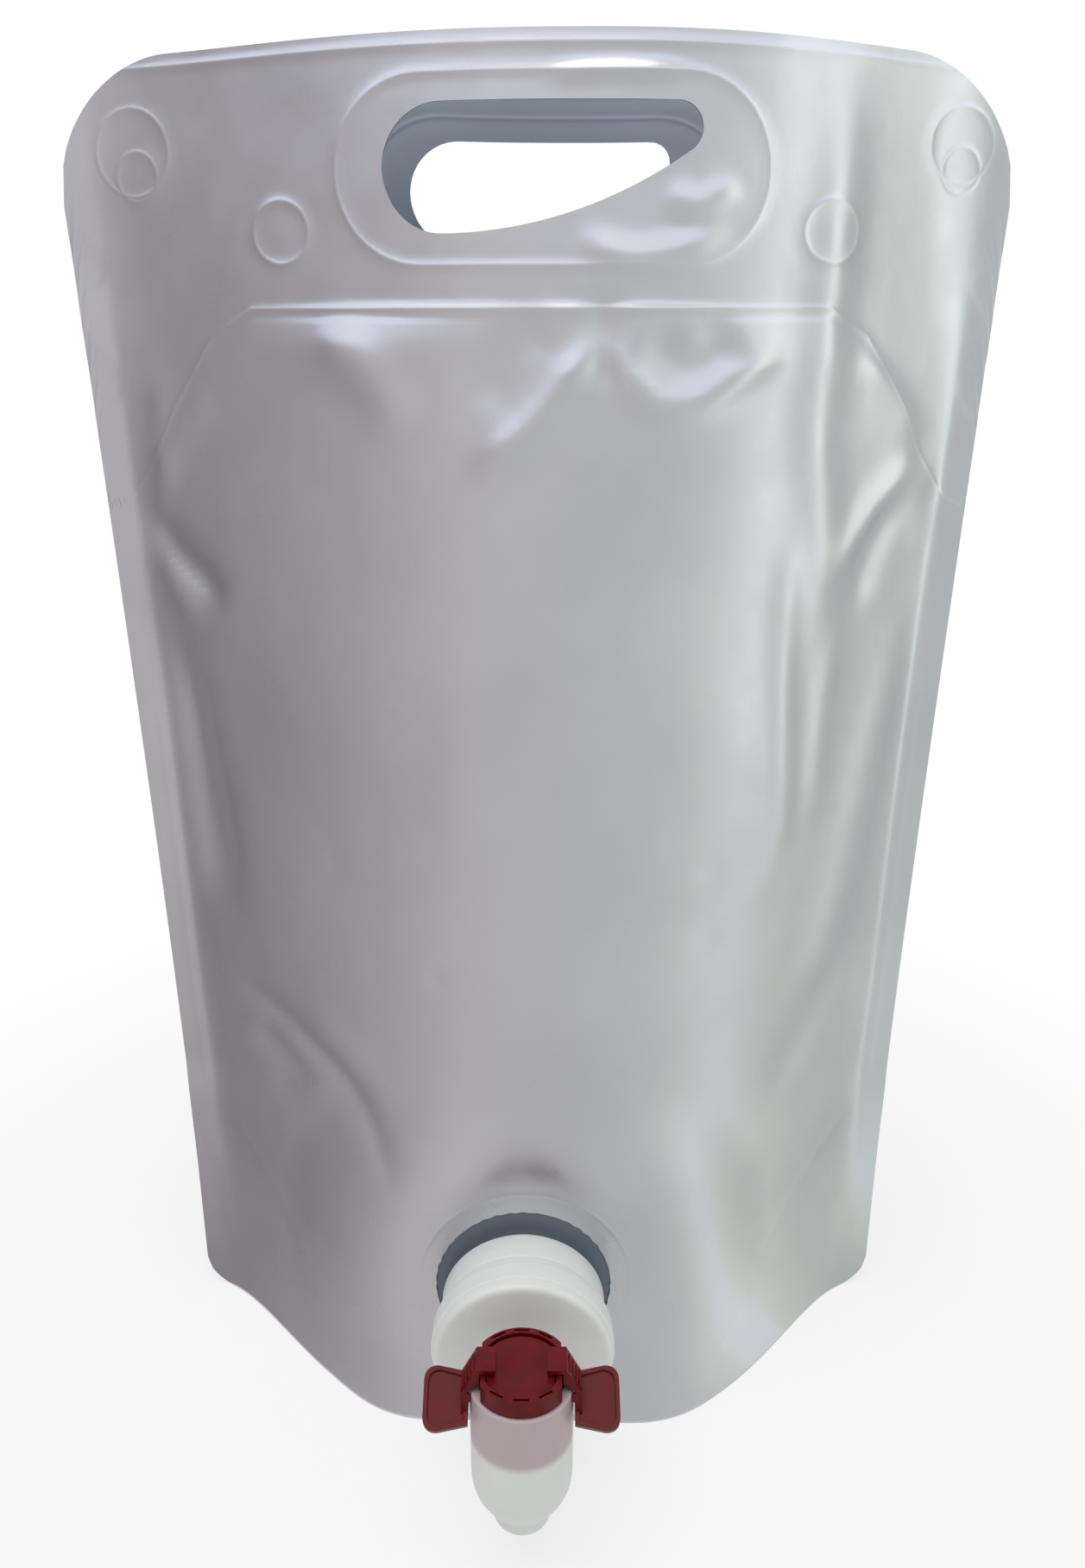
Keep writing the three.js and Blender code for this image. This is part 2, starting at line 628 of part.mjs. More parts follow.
// Bellows round the stem, from the ledge to the button's underside
function bellowsSolid() {
  const foot = LEDGE_TOP + FIT_GAP;
  const top = BUTTON_FOOT - FIT_GAP;
  const wide = CHAMBER_RADIUS - FIT_GAP;
  const head = CAP_HALF_WIDTH - CAP_SIDE_LIP - BUTTON_GAP - BELLOWS_FOLD;
  const radii = [wide, wide - BELLOWS_FOLD, wide - BELLOWS_FOLD / 2, head];
  const line = radii.map((radius, k) => [radius, foot + ((top - foot) * k) / (radii.length - 1)]);
  const back = line.map(([radius, height]) => [radius - BELLOWS_WALL, height]).reverse();
  return atBarrel(turned([...line, ...back, line[0]]));
}

// Finger grip
const ARM_ROOT = BARREL_RADIUS + FIT_GAP;

function armShape(side) {
  const top = CAP_TOP + FIT_GAP;
  const beside = CAP_HALF_WIDTH + FIT_GAP;
  const points = [
    [HOOK_REACH, top],
    [HOOK_REACH, top + HOOK_WALL],
    [beside + ARM_WALL / 2, top + HOOK_WALL],
    [ARM_ROOT + ARM_WALL, BARREL_TOP - FIT_GAP],
    [ARM_ROOT + ARM_WALL, ARM_FOOT],
    [ARM_ROOT, ARM_FOOT],
    [ARM_ROOT, BARREL_TOP + FIT_GAP / 2],
    [beside, CAP_FOOT + CAP_HEIGHT / 2],
    [beside, top],
  ];
  return new THREE.Shape(points.map(([x, z]) => new THREE.Vector2(side * x, z)));
}

// A paddle's outline from its root to its tip, longer at the tip and rounded there
function paddleShape(side, inset) {
  const root = ARM_ROOT + inset;
  const tip = PADDLE_HALF_SPAN - inset;
  const halfRoot = PADDLE_ROOT_LENGTH / 2 - inset;
  const halfTip = PADDLE_LENGTH / 2 - inset;
  const round = PADDLE_ROUND - inset / 2;
  const shape = new THREE.Shape();
  shape.moveTo(side * root, -halfRoot);
  shape.lineTo(side * (tip - round), -halfTip);
  shape.quadraticCurveTo(side * tip, -halfTip, side * tip, -halfTip + round);
  shape.lineTo(side * tip, halfTip - round);
  shape.quadraticCurveTo(side * tip, halfTip, side * (tip - round), halfTip);
  shape.lineTo(side * root, halfRoot);
  shape.closePath();
  return shape;
}

function gripSolid() {
  let grip = null;
  const join = (solid) => {
    grip = grip ? grip.add(solid) : solid;
  };
  for (const side of [-1, 1]) {
    join(across(armShape(side), -ARM_WIDTH / 2, ARM_WIDTH / 2));
    const paddle = upright(paddleShape(side, 0), 0, PADDLE_WALL + PADDLE_RIM_HEIGHT).subtract(
      upright(paddleShape(side, PADDLE_RIM), PADDLE_WALL, PADDLE_WALL + PADDLE_RIM_HEIGHT + 1)
    );
    join(paddle.rotate([PADDLE_TILT, 0, 0]).translate([0, 0, PADDLE_Z]));
  }
  const clip = disc(BARREL_RADIUS + FIT_GAP + CLIP_WALL, BARREL_TOP - FIT_GAP, BARREL_TOP - FIT_GAP - CLIP_HEIGHT);
  const opening = new THREE.Shape();
  const wide = 2 * BARREL_RADIUS * Math.tan(radians(CLIP_OPEN_ANGLE / 2));
  opening.moveTo(0, 0);
  opening.lineTo(-wide, -2 * BARREL_RADIUS);
  opening.lineTo(wide, -2 * BARREL_RADIUS);
  opening.closePath();
  join(clip.subtract(upright(opening, -PAST, PAST)));
  return atBarrel(grip.subtract(disc(BARREL_RADIUS + FIT_GAP, BARREL_TOP + FIT_GAP / 2, -PAST)));
}

const pouch = new THREE.Group();
pouch.add(toMesh("front_film", panelSolid(-1, FRONT_ROWS).subtract(handleCut).subtract(tapCut), FRONT_FILM));
pouch.add(toMesh("back_film", panelSolid(1, BACK_ROWS).subtract(handleCut), BACK_FILM));
pouch.add(toMesh("bottom_gusset", gussetSolid(), FOOT_FILM));

const tap = new THREE.Group();
tap.position.set(TAP_X, -PAD_REACH, TAP_Z);
tap.add(toMesh("tap_gland", glandSolid, MILKY_PLASTIC));
tap.add(toMesh("tap_body", tapBodySolid(), MILKY_PLASTIC));
tap.add(toMesh("cap_ring", capRingSolid(), RED_PLASTIC));
tap.add(toMesh("finger_grip", gripSolid(), RED_PLASTIC));
tap.add(toMesh("press_button", buttonSolid(), RED_PLASTIC));
tap.add(toMesh("valve_plunger", plungerSolid(), RED_PLASTIC));
tap.add(toMesh("valve_seal", sealSolid, SEAL_RUBBER));
tap.add(toMesh("return_bellows", bellowsSolid(), SEAL_RUBBER));
pouch.add(tap);

export default pouch;
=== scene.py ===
"""The looks of a stand-up drinks pouch: satin metallised film, a milky tap and its red press button.

Every piece is worked out in millimetres in the frame's own axes and written to its mesh in metres.
"""

import math

import bmesh
import bpy
import numpy as np
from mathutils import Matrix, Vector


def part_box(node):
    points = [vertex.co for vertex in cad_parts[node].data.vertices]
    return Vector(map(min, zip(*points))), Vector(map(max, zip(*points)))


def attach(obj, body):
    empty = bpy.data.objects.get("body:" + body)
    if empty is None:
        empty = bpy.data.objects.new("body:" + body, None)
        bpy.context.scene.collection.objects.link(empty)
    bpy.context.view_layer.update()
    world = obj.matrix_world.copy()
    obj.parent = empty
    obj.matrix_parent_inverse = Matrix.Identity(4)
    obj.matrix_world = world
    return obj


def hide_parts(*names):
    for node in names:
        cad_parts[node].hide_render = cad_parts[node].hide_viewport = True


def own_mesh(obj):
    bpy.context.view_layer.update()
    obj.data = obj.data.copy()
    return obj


bl_info = {
    "name": "Film pouch with press tap",
    "version": (1, 0, 0),
    "blender": (4, 5, 0),
    "location": "View3D > Sidebar > Pouch",
    "description": "Dresses the packed pouch with film, moulded plastic and a studio",
    "category": "Object",
}

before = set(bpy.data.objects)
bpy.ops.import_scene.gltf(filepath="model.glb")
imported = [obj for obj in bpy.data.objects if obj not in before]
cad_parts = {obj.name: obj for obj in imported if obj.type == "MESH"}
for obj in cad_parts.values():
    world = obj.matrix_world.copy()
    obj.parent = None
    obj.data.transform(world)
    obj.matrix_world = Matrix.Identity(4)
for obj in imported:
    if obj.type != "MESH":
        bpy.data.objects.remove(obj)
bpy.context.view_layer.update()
MM = 0.001
SHARP_ANGLE = math.radians(48)
MERGE_DISTANCE = 1e-6


def node_box(node):
    """A CAD node's lowest and highest corner, in millimetres."""
    low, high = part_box(node)
    return np.array(low) / MM, np.array(high) / MM


# Places and sizes read from the frame
GLAND_LOW, GLAND_HIGH = node_box("tap_gland")
BELLOWS_LOW, BELLOWS_HIGH = node_box("return_bellows")
POUCH_HEIGHT = node_box("front_film")[1][2]
TAP_X, TAP_Z = (GLAND_LOW + GLAND_HIGH)[[0, 2]] / 2

# The film's form, in millimetres, as the CAD states it
FILM_WALL = 0.4
FIT_GAP = 0.3
FLANGE_WALL = 1.6
TAP_FACE = GLAND_HIGH[1] - FIT_GAP - FLANGE_WALL
FOOT_HALF_WIDTH = 98.0
HEADER_HALF_WIDTH = 106.5
SIDE_LEAN_START = 40.0
SIDE_LEAN_POWER = 1.4
TOP_CORNER_RADIUS = 29.0
FOOT_CORNER_RADIUS = 9.0
SECTION_HEIGHTS = (0, 40, 110, 188, 250, POUCH_HEIGHT)
SECTION_DEPTHS = (57, 50, 46.5, 44, 40.5, 35)
SECTION_SHARES = (1.0, 0.94, 0.93, 0.93, 0.94, 0.955)
SECTION_CROWNS = (3.0, 2.6, 2.2, 2.12, 2.1, 2.3)
SECTION_EDGES = (2.15, 1.6, 1.25, 1.2, 1.3, 1.85)
HEADER_SKEW = 8.0
SKEW_START = 200.0
GUSSET_FOLD_HEIGHT = 64.0
GUSSET_SEAL_HEIGHT = 9.5
GUSSET_SEAL_FLAT_HALF = 36.0
GUSSET_FLAT_HALF = 54.0
GUSSET_CLOSE_HALF = 94.0
GUSSET_SEAL_RISE_POWER = 1.55
GUSSET_OPEN_BLEND = 14.0
GUSSET_RIM_GAP = 0.5
GUSSET_SAG_SHARE = 1 / 3
PAD_RADIUS = 28.5
PAD_BLEND = 38.0
TAP_HOLE_RADIUS = 22.0
HOLE_RISE = 2.6
HOLE_RIPPLE = 0.22
HOLE_RIPPLES = 41
HANDLE_TOP = POUCH_HEIGHT - 12.4
HANDLE_LEFT_X = -18.9
HANDLE_LEFT_RADIUS = 12.0
HANDLE_RIGHT_X = 27.6
HANDLE_RIGHT_RADIUS = 4.9
HANDLE_SLANT_X = 8.0
HANDLE_SLANT_ANGLE = 42.0

# The camera that took the photograph: its place in metres, pitch down in degrees and lens
CAMERA_PLACE = (0.0, -0.315, 0.275)
CAMERA_PITCH = 19.97
PHOTO_FOCUS = 1500.0
PHOTO_SIZE = (1257, 1817)
PHOTO_CENTRE = (622.0, 900.0)


def hex_field(name, colour):
    """A setting for a colour, as an sRGB hex value."""
    return bpy.props.StringProperty(name=name, description="sRGB hex", default=colour)


class PouchFilmSettings(bpy.types.PropertyGroup):
    """Sizes and colours of the film."""

    column_step: bpy.props.FloatProperty(
        name="Column step", description="Mesh step across the film, mm", default=1.1, min=0.8
    )
    emboss: bpy.props.FloatProperty(
        name="Emboss", description="Height of the weld lines pressed into the film, mm", default=0.42
    )
    outside: hex_field("Outside", "#c6c6cb")
    # The inner face is silver; its blue tint is a painted reflection of sky light
    inside: hex_field("Inside", "#aab3c0")


class PouchTapSettings(bpy.types.PropertyGroup):
    """Colours of the tap's mouldings."""

    milky: hex_field("Milky", "#e9ecea")
    tinted: hex_field("Tinted", "#c3b1b7")
    red: hex_field("Red", "#680612")
    # Dark blue-grey of the ring in the tap hole: painted shade of the gland's flange in shadow behind the
    # film, over the grey of the film's inner face
    gap_shade: hex_field("Shade in the tap hole", "#6b7684")
    bevel: bpy.props.FloatProperty(
        name="Edge rounding", description="Radius of moulded edges, mm", default=0.35, min=0.0
    )


class PouchStageSettings(bpy.types.PropertyGroup):
    """Light of the studio."""

    key_watts: bpy.props.FloatProperty(
        name="Key", description="Overhead softbox power", default=6.0, unit="POWER"
    )
    window_watts: bpy.props.FloatProperty(
        name="Window", description="Panel at the right", default=0.5, unit="POWER"
    )
    fill: bpy.props.FloatProperty(name="Fill", description="World strength for diffuse light", default=0.5)


# Numbers into shapes


def smooth(value):
    """Eases from 0 to 1: three times the square less twice the cube."""
    u = np.clip(value, 0.0, 1.0)
    return u * u * (3 - 2 * u)


def smooth_table(at, stops, values):
    """Cubic curve through the stops, with each slope the mean of the slopes beside it."""
    stops = np.asarray(stops, float)
    values = np.asarray(values, float)
    slopes = np.gradient(values, stops)
    k = np.clip(np.searchsorted(stops, at) - 1, 0, len(stops) - 2)
    run = stops[k + 1] - stops[k]
    u = np.clip((at - stops[k]) / run, 0, 1)
    start = values[k] * (2 * u**3 - 3 * u**2 + 1) + slopes[k] * run * (u**3 - 2 * u**2 + u)
    return start + values[k + 1] * (3 * u**2 - 2 * u**3) + slopes[k + 1] * run * (u**3 - u**2)


def half_width(z):
    """Half the distance between the side seams: the foot's, plus a power of the height above it."""
    climb = np.clip((z - SIDE_LEAN_START) / (POUCH_HEIGHT - SIDE_LEAN_START), 0, 1)
    return FOOT_HALF_WIDTH + (HEADER_HALF_WIDTH - FOOT_HALF_WIDTH) * climb**SIDE_LEAN_POWER


def free_reach(x, z):
    """Distance of a film's inner face from the seam plane: depth x (1 - share^crown)^edge."""
    lean = HEADER_SKEW * smooth((z - SKEW_START) / (POUCH_HEIGHT - SKEW_START))
    moved = x - lean * (1 - np.minimum((x / HEADER_HALF_WIDTH) ** 2, 1))
    share = np.abs(moved) / (half_width(z) * smooth_table(z, SECTION_HEIGHTS, SECTION_SHARES))
    crown = smooth_table(z, SECTION_HEIGHTS, SECTION_CROWNS)
    edge = smooth_table(z, SECTION_HEIGHTS, SECTION_EDGES)
    bulge = smooth_table(z, SECTION_HEIGHTS, SECTION_DEPTHS) * (1 - np.minimum(share, 1) ** crown) ** edge
    room = 1 - smooth((z - GUSSET_FOLD_HEIGHT) / GUSSET_OPEN_BLEND)
    return bulge + FIT_GAP / 2 + (FILM_WALL + FIT_GAP) * room


def reach(x, z, side):
    """The film's inner face, with the front one pressed flat on a pad round the tap."""
    free = free_reach(x, z)
    if side > 0:
        return free
    away = np.hypot(x - TAP_X, z - TAP_Z)
    return free + (-TAP_FACE - free) * (1 - smooth((away - PAD_RADIUS) / PAD_BLEND))


def film_normal(x, z, side):
    """Outward direction of the film, from its slopes along X and Z over one millimetre."""
    along_x = reach(x + 0.5, z, side) - reach(x - 0.5, z, side)
    low = np.maximum(z - 0.5, 0)
    along_z = (reach(x, z + 0.5, side) - reach(x, low, side)) / (z + 0.5 - low)
    normal = np.stack([-along_x, np.full_like(x, side), -along_z], -1)
    return normal / np.linalg.norm(normal, axis=-1, keepdims=True)


def nearest_on_path(x, z, path):
    """The nearest point of a path of straight steps: distance, how far along from 0 to 1, x and z."""
    path = np.asarray(path, float)
    lengths = np.hypot(*np.diff(path, axis=0).T)
    nearest = np.full(x.shape, np.inf)
    found = [np.zeros(x.shape), x, z]
    done = 0.0
    for start, end, length in zip(path[:-1], path[1:], lengths):
        if length == 0:
            continue
        run = (end - start) / length
        u = np.clip((x - start[0]) * run[0] + (z - start[1]) * run[1], 0, length)
        here = ((done + u) / lengths.sum(), start[0] + run[0] * u, start[1] + run[1] * u)
        away = np.hypot(x - here[1], z - here[2])
        closer = away < nearest
        nearest = np.where(closer, away, nearest)
        found = [np.where(closer, new, old) for new, old in zip(here, found)]
        done += length
    return nearest, *found


def smooth_path(points, steps):
    """A Catmull-Rom curve through the points, as a list of short straight steps."""
    points = np.asarray(points, float)
    held = np.vstack([2 * points[0] - points[1], points, 2 * points[-1] - points[-2]])
    u = np.linspace(0, 1, steps, endpoint=False)[:, None]
    pieces = [
        0.5 * (2 * b + (c - a) * u + (2 * a - 5 * b + 4 * c - d) * u**2 + (3 * b - a - 3 * c + d) * u**3)
        for a, b, c, d in zip(held[:-3], held[1:-2], held[2:-1], held[3:])
    ]
    return np.vstack(pieces + [points[-1:]])


def crease(x, z, path, height, half, power=2.0, taper=0.3):
    """A fold along a path: height x exp(-(distance / half)^power), eased out at both ends.

    Power 2 is a soft roll of film and power 1 a sharp fold.
    """
    away, along, _, _ = nearest_on_path(x, z, smooth_path(path, 6))
    ends = smooth(along / taper) * smooth((1 - along) / taper)
    return height * np.exp(-((away / half) ** power)) * ends


def arc(centre, radius, turn):
    """Points of a circle at the angles in turn."""
    return np.stack([centre[0] + radius * np.cos(turn), centre[1] + radius * np.sin(turn)], -1)


def rounded_box_path(left, right, foot, top, radius, steps=10):
    """A closed rectangle path with round corners."""
    turn = np.linspace(0, np.pi / 2, steps)
    low, high = foot + radius, top - radius
    first, last = left + radius, right - radius
    corners = ((last, high), (first, high), (first, low), (last, low))
    path = np.vstack([arc(corner, radius, turn + k * np.pi / 2) for k, corner in enumerate(corners)])
    return np.vstack([path, path[:1]])


def handle_path(steps=28):
    """The hand hole: a big arc at the left, a small one at the right and a slanted lower edge."""
    left_z = HANDLE_TOP - HANDLE_LEFT_RADIUS
    right_z = HANDLE_TOP - HANDLE_RIGHT_RADIUS
    turn = np.linspace(np.pi / 2, 3 * np.pi / 2, steps)
    left = arc((HANDLE_LEFT_X, left_z), HANDLE_LEFT_RADIUS, turn)
    turn = np.linspace(-math.radians(HANDLE_SLANT_ANGLE), np.pi / 2, steps)
    right = arc((HANDLE_RIGHT_X, right_z), HANDLE_RIGHT_RADIUS, turn)
    u = np.linspace(0, 1, steps)[1:-1, None]
    bend = np.array([HANDLE_SLANT_X, left_z - HANDLE_LEFT_RADIUS])
    slant = left[-1] * (1 - u) ** 2 + 2 * bend * u * (1 - u) + right[0] * u**2
    path = np.vstack([left, slant, right])
    return np.vstack([path, path[:1]])


def ragged_circle(centre, radius, ripple, ripples, steps=160):
    """A circle whose radius ripples a little, as a hand-cut edge does."""
    turn = np.linspace(0, 2 * np.pi, steps)
    return arc(centre, radius + ripple * np.sin(turn * ripples) * np.cos(turn * 3 + 1), turn)


def inside_path(x, z, path):
    """Whether each point lies inside a closed path: it crosses an odd number of its steps."""
    inside = np.zeros(x.shape, bool)
    for (ax, az), (bx, bz) in zip(path[:-1], path[1:]):
        if az == bz:
            continue
        crosses = (az > z) != (bz > z)
        inside ^= crosses & (x < ax + (z - az) * (bx - ax) / (bz - az))
    return inside


def grid_faces(rows, columns, wrap_rows=False, wrap_columns=False):
    """Four corner numbers for each cell of a grid of points numbered row by row."""
    number = np.arange(rows * columns).reshape(rows, columns)
    if wrap_rows:
        number = np.vstack([number, number[:1]])
    if wrap_columns:
        number = np.hstack([number, number[:, :1]])
    return np.stack([number[:-1, :-1], number[:-1, 1:], number[1:, 1:], number[1:, :-1]], -1).reshape(-1, 4)


def cut_holes(x, z, faces, paths):
    """Drops the cells inside each path and draws the edge that is left onto the path."""
    for path in paths:
        centre_x, centre_z = x[faces].mean(1), z[faces].mean(1)
        gone = inside_path(centre_x, centre_z, path)
        on_gone = np.zeros(len(x), bool)
        on_kept = np.zeros(len(x), bool)
        on_gone[faces[gone]] = True
        on_kept[faces[~gone]] = True
        rim = on_gone & on_kept
        x[rim], z[rim] = nearest_on_path(x[rim], z[rim], path)[2:]
        faces = faces[~gone]
    return x, z, faces


def placed(name, data):
    """A new object in the scene."""
    made = bpy.data.objects.new(name, data)
    bpy.context.scene.collection.objects.link(made)
    return made


def new_piece(
    name, points, faces, materials, body, nodes=(), closed=False, marks=(), face_materials=None
):
    """Makes an object from points in millimetres, parents it to its body's empty and hides the CAD nodes
    that it stands for.

    Marks are values for each point, kept as attributes that a material reads.
    """
    used, numbered = np.unique(faces, return_inverse=True)
    mesh = bpy.data.meshes.new(name)
    mesh.from_pydata((points[used] * MM).tolist(), [], numbered.reshape(faces.shape).tolist())
    if closed:
        shell = bmesh.new()
        shell.from_mesh(mesh)
        bmesh.ops.remove_doubles(shell, verts=shell.verts, dist=MERGE_DISTANCE)
        bmesh.ops.recalc_face_normals(shell, faces=shell.faces)
        shell.to_mesh(mesh)
        shell.free()
    for key, values in dict(marks).items():
        mesh.attributes.new(key, "FLOAT", "POINT").data.foreach_set("value", values[used])
    mesh.shade_smooth()
    mesh.set_sharp_from_angle(angle=SHARP_ANGLE)
    piece = placed(name, mesh)
    for material in materials:
        mesh.materials.append(material)
    if face_materials is not None:
        mesh.polygons.foreach_set("material_index", face_materials)
    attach(piece, body)
    if nodes:
        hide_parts(*nodes)
    return piece


def walled(outer, inner, faces):
    """Joins two sheets of the same cells along their free edges.

    Gives the points, the faces, and a material number for each face: 0 outside, 1 inside and on the
    cut edge, where the inner face's darker colour is painted shade along the edge.
    """
    count = len(outer)
    edges = np.stack([faces, np.roll(faces, -1, 1)], -1).reshape(-1, 2)
    free = edges[~np.isin(edges @ (count, 1), edges @ (1, count))]
    rim = np.stack([free[:, 1], free[:, 0], free[:, 0] + count, free[:, 1] + count], -1)
    joined = np.vstack([faces, rim, faces[:, ::-1] + count])
    numbers = np.zeros(len(joined), np.int32)
    # The cut edge takes the inner face's darker colour: painted shade along the edge
    numbers[len(faces) :] = 1
    return np.vstack([outer, inner]), joined, numbers


# Film


def band_steps(bands):
    """Heights or places from bands of (start, end, step)."""
    parts = [np.linspace(a, b, max(int(round((b - a) / step)), 1), endpoint=False) for a, b, step in bands]
    return np.concatenate(parts + [[bands[-1][1]]])


def corner_drop(share, half, radius):
    """How far a rounded corner draws the film's edge in: a quarter circle over its last radius."""
    past = np.abs(share) * half - (half - radius)
    return np.where(past > 0, radius - np.sqrt(np.maximum(radius**2 - np.maximum(past, 0) ** 2, 0)), 0.0)


def film_plan(bands, column_step):
    """x and z of a film's grid, seam to seam and foot to header, within its rounded corners."""
    columns = int(2 * FOOT_HALF_WIDTH / column_step)
    share = np.linspace(-1, 1, columns + 1)
    rise = band_steps(bands)[:, None] / bands[-1][1]
    top = POUCH_HEIGHT - corner_drop(share, HEADER_HALF_WIDTH, TOP_CORNER_RADIUS)
    foot = corner_drop(share, FOOT_HALF_WIDTH, FOOT_CORNER_RADIUS)
    z = foot + (top - foot) * rise
    return share * half_width(z), z


HEADER_WELD = ((-98, 231), (-89, 241), (-82, 254), (-72, 268), (-61, 274.3), (-30, 274.6), (0, 274.6),
               (30, 274.6), (61, 274.6), (72, 269), (82, 255), (89, 243), (97, 232), (103, 229))
CONTOUR_BOX = (-40.8, 46.7, 282.7, 317.8, 17.4)
PRESS_MARKS = (((-53.4, 289.4), 6.2), ((61.1, 289.6), 6.2), ((-87.9, 306.3), 8.8), ((92.4, 308.0), 7.6),
               ((TAP_X + 0.4, TAP_Z + 3.0), 26.8))
INNER_MARKS = (((-87.3, 301.5), 5.0), ((92.8, 303.0), 4.6))
TOP_LINE_DROP = 2.4
# Height as a share of the emboss, and half width, of the ridge along each line
MARK_SHARE = 0.4
MARK_HALF = 0.95
EDGE_NOTCHES = (
    ((-104.5, 283.0), 7.0), ((-103.5, 257.5), 7.0), ((106.0, 279.5), 7.5), ((105.5, 256.5), 7.5),
)
NOTCH_DEPTH_SHARE = 1.6
NOTCH_FLAT_SHARE = 0.75
NOTCH_WALL_SHARE = 0.3
# Weld lines at the foot's corners and down the sides: path, share of the emboss, half width, taper
SIDE_WELDS = (
    (((92, 64), (79, 54), (64, 35), (50, 16), (40, 10.2), (33, 9.5)), 0.4, 1.3, 0.1),
    (((95.5, 226), (94.5, 140), (92.5, 66)), 1.0, 1.0, 0.05),
)


def header_weld_height(x):
    """Height of the weld across the shoulders."""
    path = np.array(HEADER_WELD)
    return np.interp(x, path[:, 0], path[:, 1])


def embossing(x, z, height):
    """Weld lines and press marks: narrow ridges along the marks and paths, and hollows at the edges."""
    least = np.min([np.abs(distance) for distance in weld_marks(x, z).values()], axis=0)
    total = height * MARK_SHARE * np.exp(-((least / MARK_HALF) ** 2))
    for centre, radius in EDGE_NOTCHES:
        inner = np.hypot(x - centre[0], z - centre[1]) / radius
        bowl = 1 - smooth((inner - NOTCH_FLAT_SHARE) / NOTCH_WALL_SHARE)
        total -= height * NOTCH_DEPTH_SHARE * bowl
    for side in (-1, 1):
        for path, share, half, taper in SIDE_WELDS:
            mirrored = [(side * px, pz) for px, pz in path]
            total += crease(x, z, mirrored, height * share, half, taper=taper)
    return total


def weld_marks(x, z):
    """Signed distances to the fine pressed lines, in millimetres, for the film's material to draw.

    The first belongs to the shoulder weld, the line below the top edge and the small corner rings, and
    the second to the contour round the hand hole and the larger rings: each is the least of its shapes'
    own distances, which are negative inside a shape and below the weld.
    """
    weld = nearest_on_path(x, z, HEADER_WELD)[0]
    weld = np.where(z < header_weld_height(x), -weld, weld)
    weld = np.minimum(weld, POUCH_HEIGHT - TOP_LINE_DROP - z)
    for centre, radius in INNER_MARKS:
        weld = np.minimum(weld, np.hypot(x - centre[0], z - centre[1]) - radius)
    contour = rounded_box_path(*CONTOUR_BOX)
    away = nearest_on_path(x, z, contour)[0]
    rings = np.where(inside_path(x, z, contour), -away, away)
    for centre, radius in PRESS_MARKS:
        rings = np.minimum(rings, np.hypot(x - centre[0], z - centre[1]) - radius)
    return {"weld_line": weld, "ring_line": rings}


# Folds that the photograph shows on the front film: path, height (outward), half width, and the power
# where it isn't 2
FRONT_FOLDS = (
    (((-61, 274.2), (0, 274.2), (61, 274.2)), 0.28, 1.3),
    (((13, 280), (13.5, 269), (14, 256)), -1.2, 3.2, 1.8),
    (((13, 271), (7, 262), (0, 253), (-8, 246), (-16, 241)), 1.6, 3.6, 1.8),
    (((4, 274), (-6, 265), (-14, 254)), -0.9, 5.0),
    (((14, 272), (18, 262), (24, 256), (33, 256), (42, 261), (54, 267)), 1.5, 3.4, 1.8),
    (((20, 270), (31, 265), (42, 271)), -1.2, 4.2),
    (((-46, 272), (-36, 262), (-26, 250)), 1.1, 5.5),
    (((64, 330), (63, 301), (62, 278), (61, 249), (64, 225), (65, 180)), 1.5, 5.5),
    (((88, 244), (82, 236), (73, 226), (66, 214)), 1.6, 3.6, 1.4),
    (((88, 243), (82, 254), (69, 267)), 1.0, 3.0, 1.6),
    (((89, 241), (95, 232), (103, 229)), 0.9, 2.6, 1.5),
    (((86, 236), (78, 222), (74, 205)), -1.0, 4.0),
    (((88, 215), (86, 190), (82, 165), (77, 134), (68, 93)), 1.3, 6.0),
    (((57, 236), (56, 205), (58, 165), (57, 140)), 0.9, 3.6),
    (((70, 212), (68, 190), (66, 150)), 0.7, 3.4),
    (((-96, 231), (-87, 221), (-77, 213), (-70, 209)), -2.2, 4.2, 1.5),
    (((-93, 222), (-86, 212), (-80, 203)), 0.9, 4.0),
    (((-90, 206), (-87, 177), (-83, 150), (-80, 120)), -2.4, 6.5),
    (((-14, 215), (-15, 182), (-16, 150)), 0.7, 9.0),
    (((-84, 106), (-72, 105), (-60, 99), (-48, 90), (-40, 78), (-35, 64)), -1.5, 4.2, 1.5),
    (((-76, 96), (-66, 90), (-58, 82)), -1.1, 4.6),
    (((-60, 108), (-46, 98), (-34, 84)), 0.7, 6.0),
    (((80, 116), (71, 98), (60, 78)), -0.9, 6.0),
    (((-92, 55), (-91, 35), (-90, 15)), 0.9, 2.2, 1.5),
    (((93, 62), (92, 30), (88, 4)), 0.5, 3.0),
    (((6, 289), (17, 284.5), (30, 286), (40, 291)), 0.9, 3.2),
    (((24, 297), (32, 294), (41, 299)), 0.7, 3.0),
    (((0, 316.5), (13, 317.6), (31, 317.6)), 0.5, 1.6),
    (((-84, 262), (-88, 246), (-86, 232)), 0.6, 4.0),
)
# Small dents: place, depth, half width
FRONT_DENTS = ((41, 150, 0.3, 3.4), (41, 132, 0.3, 3.6), (-48, 151, 0.25, 2.2), (-24, 125, 0.25, 2.4),
               (-67, 82, 0.7, 4.0), (52, 141, -0.25, 5.0))
BACK_FOLDS = (
    (((-60, 268), (-48, 258), (-30, 252)), 1.0, 4.0, 1.6),
    (((20, 270), (30, 255), (52, 246)), -1.1, 4.4, 1.6),
    (((-80, 232), (-76, 190), (-78, 150)), -1.2, 7.0),
    (((84, 236), (78, 200), (80, 160)), -1.2, 7.0),
    (((-70, 110), (-52, 92), (-44, 66)), -1.3, 5.0, 1.5),
    (((70, 112), (54, 90), (46, 64)), -1.2, 5.0, 1.5),
    (((10, 200), (14, 160), (8, 120)), 0.7, 10.0),
)


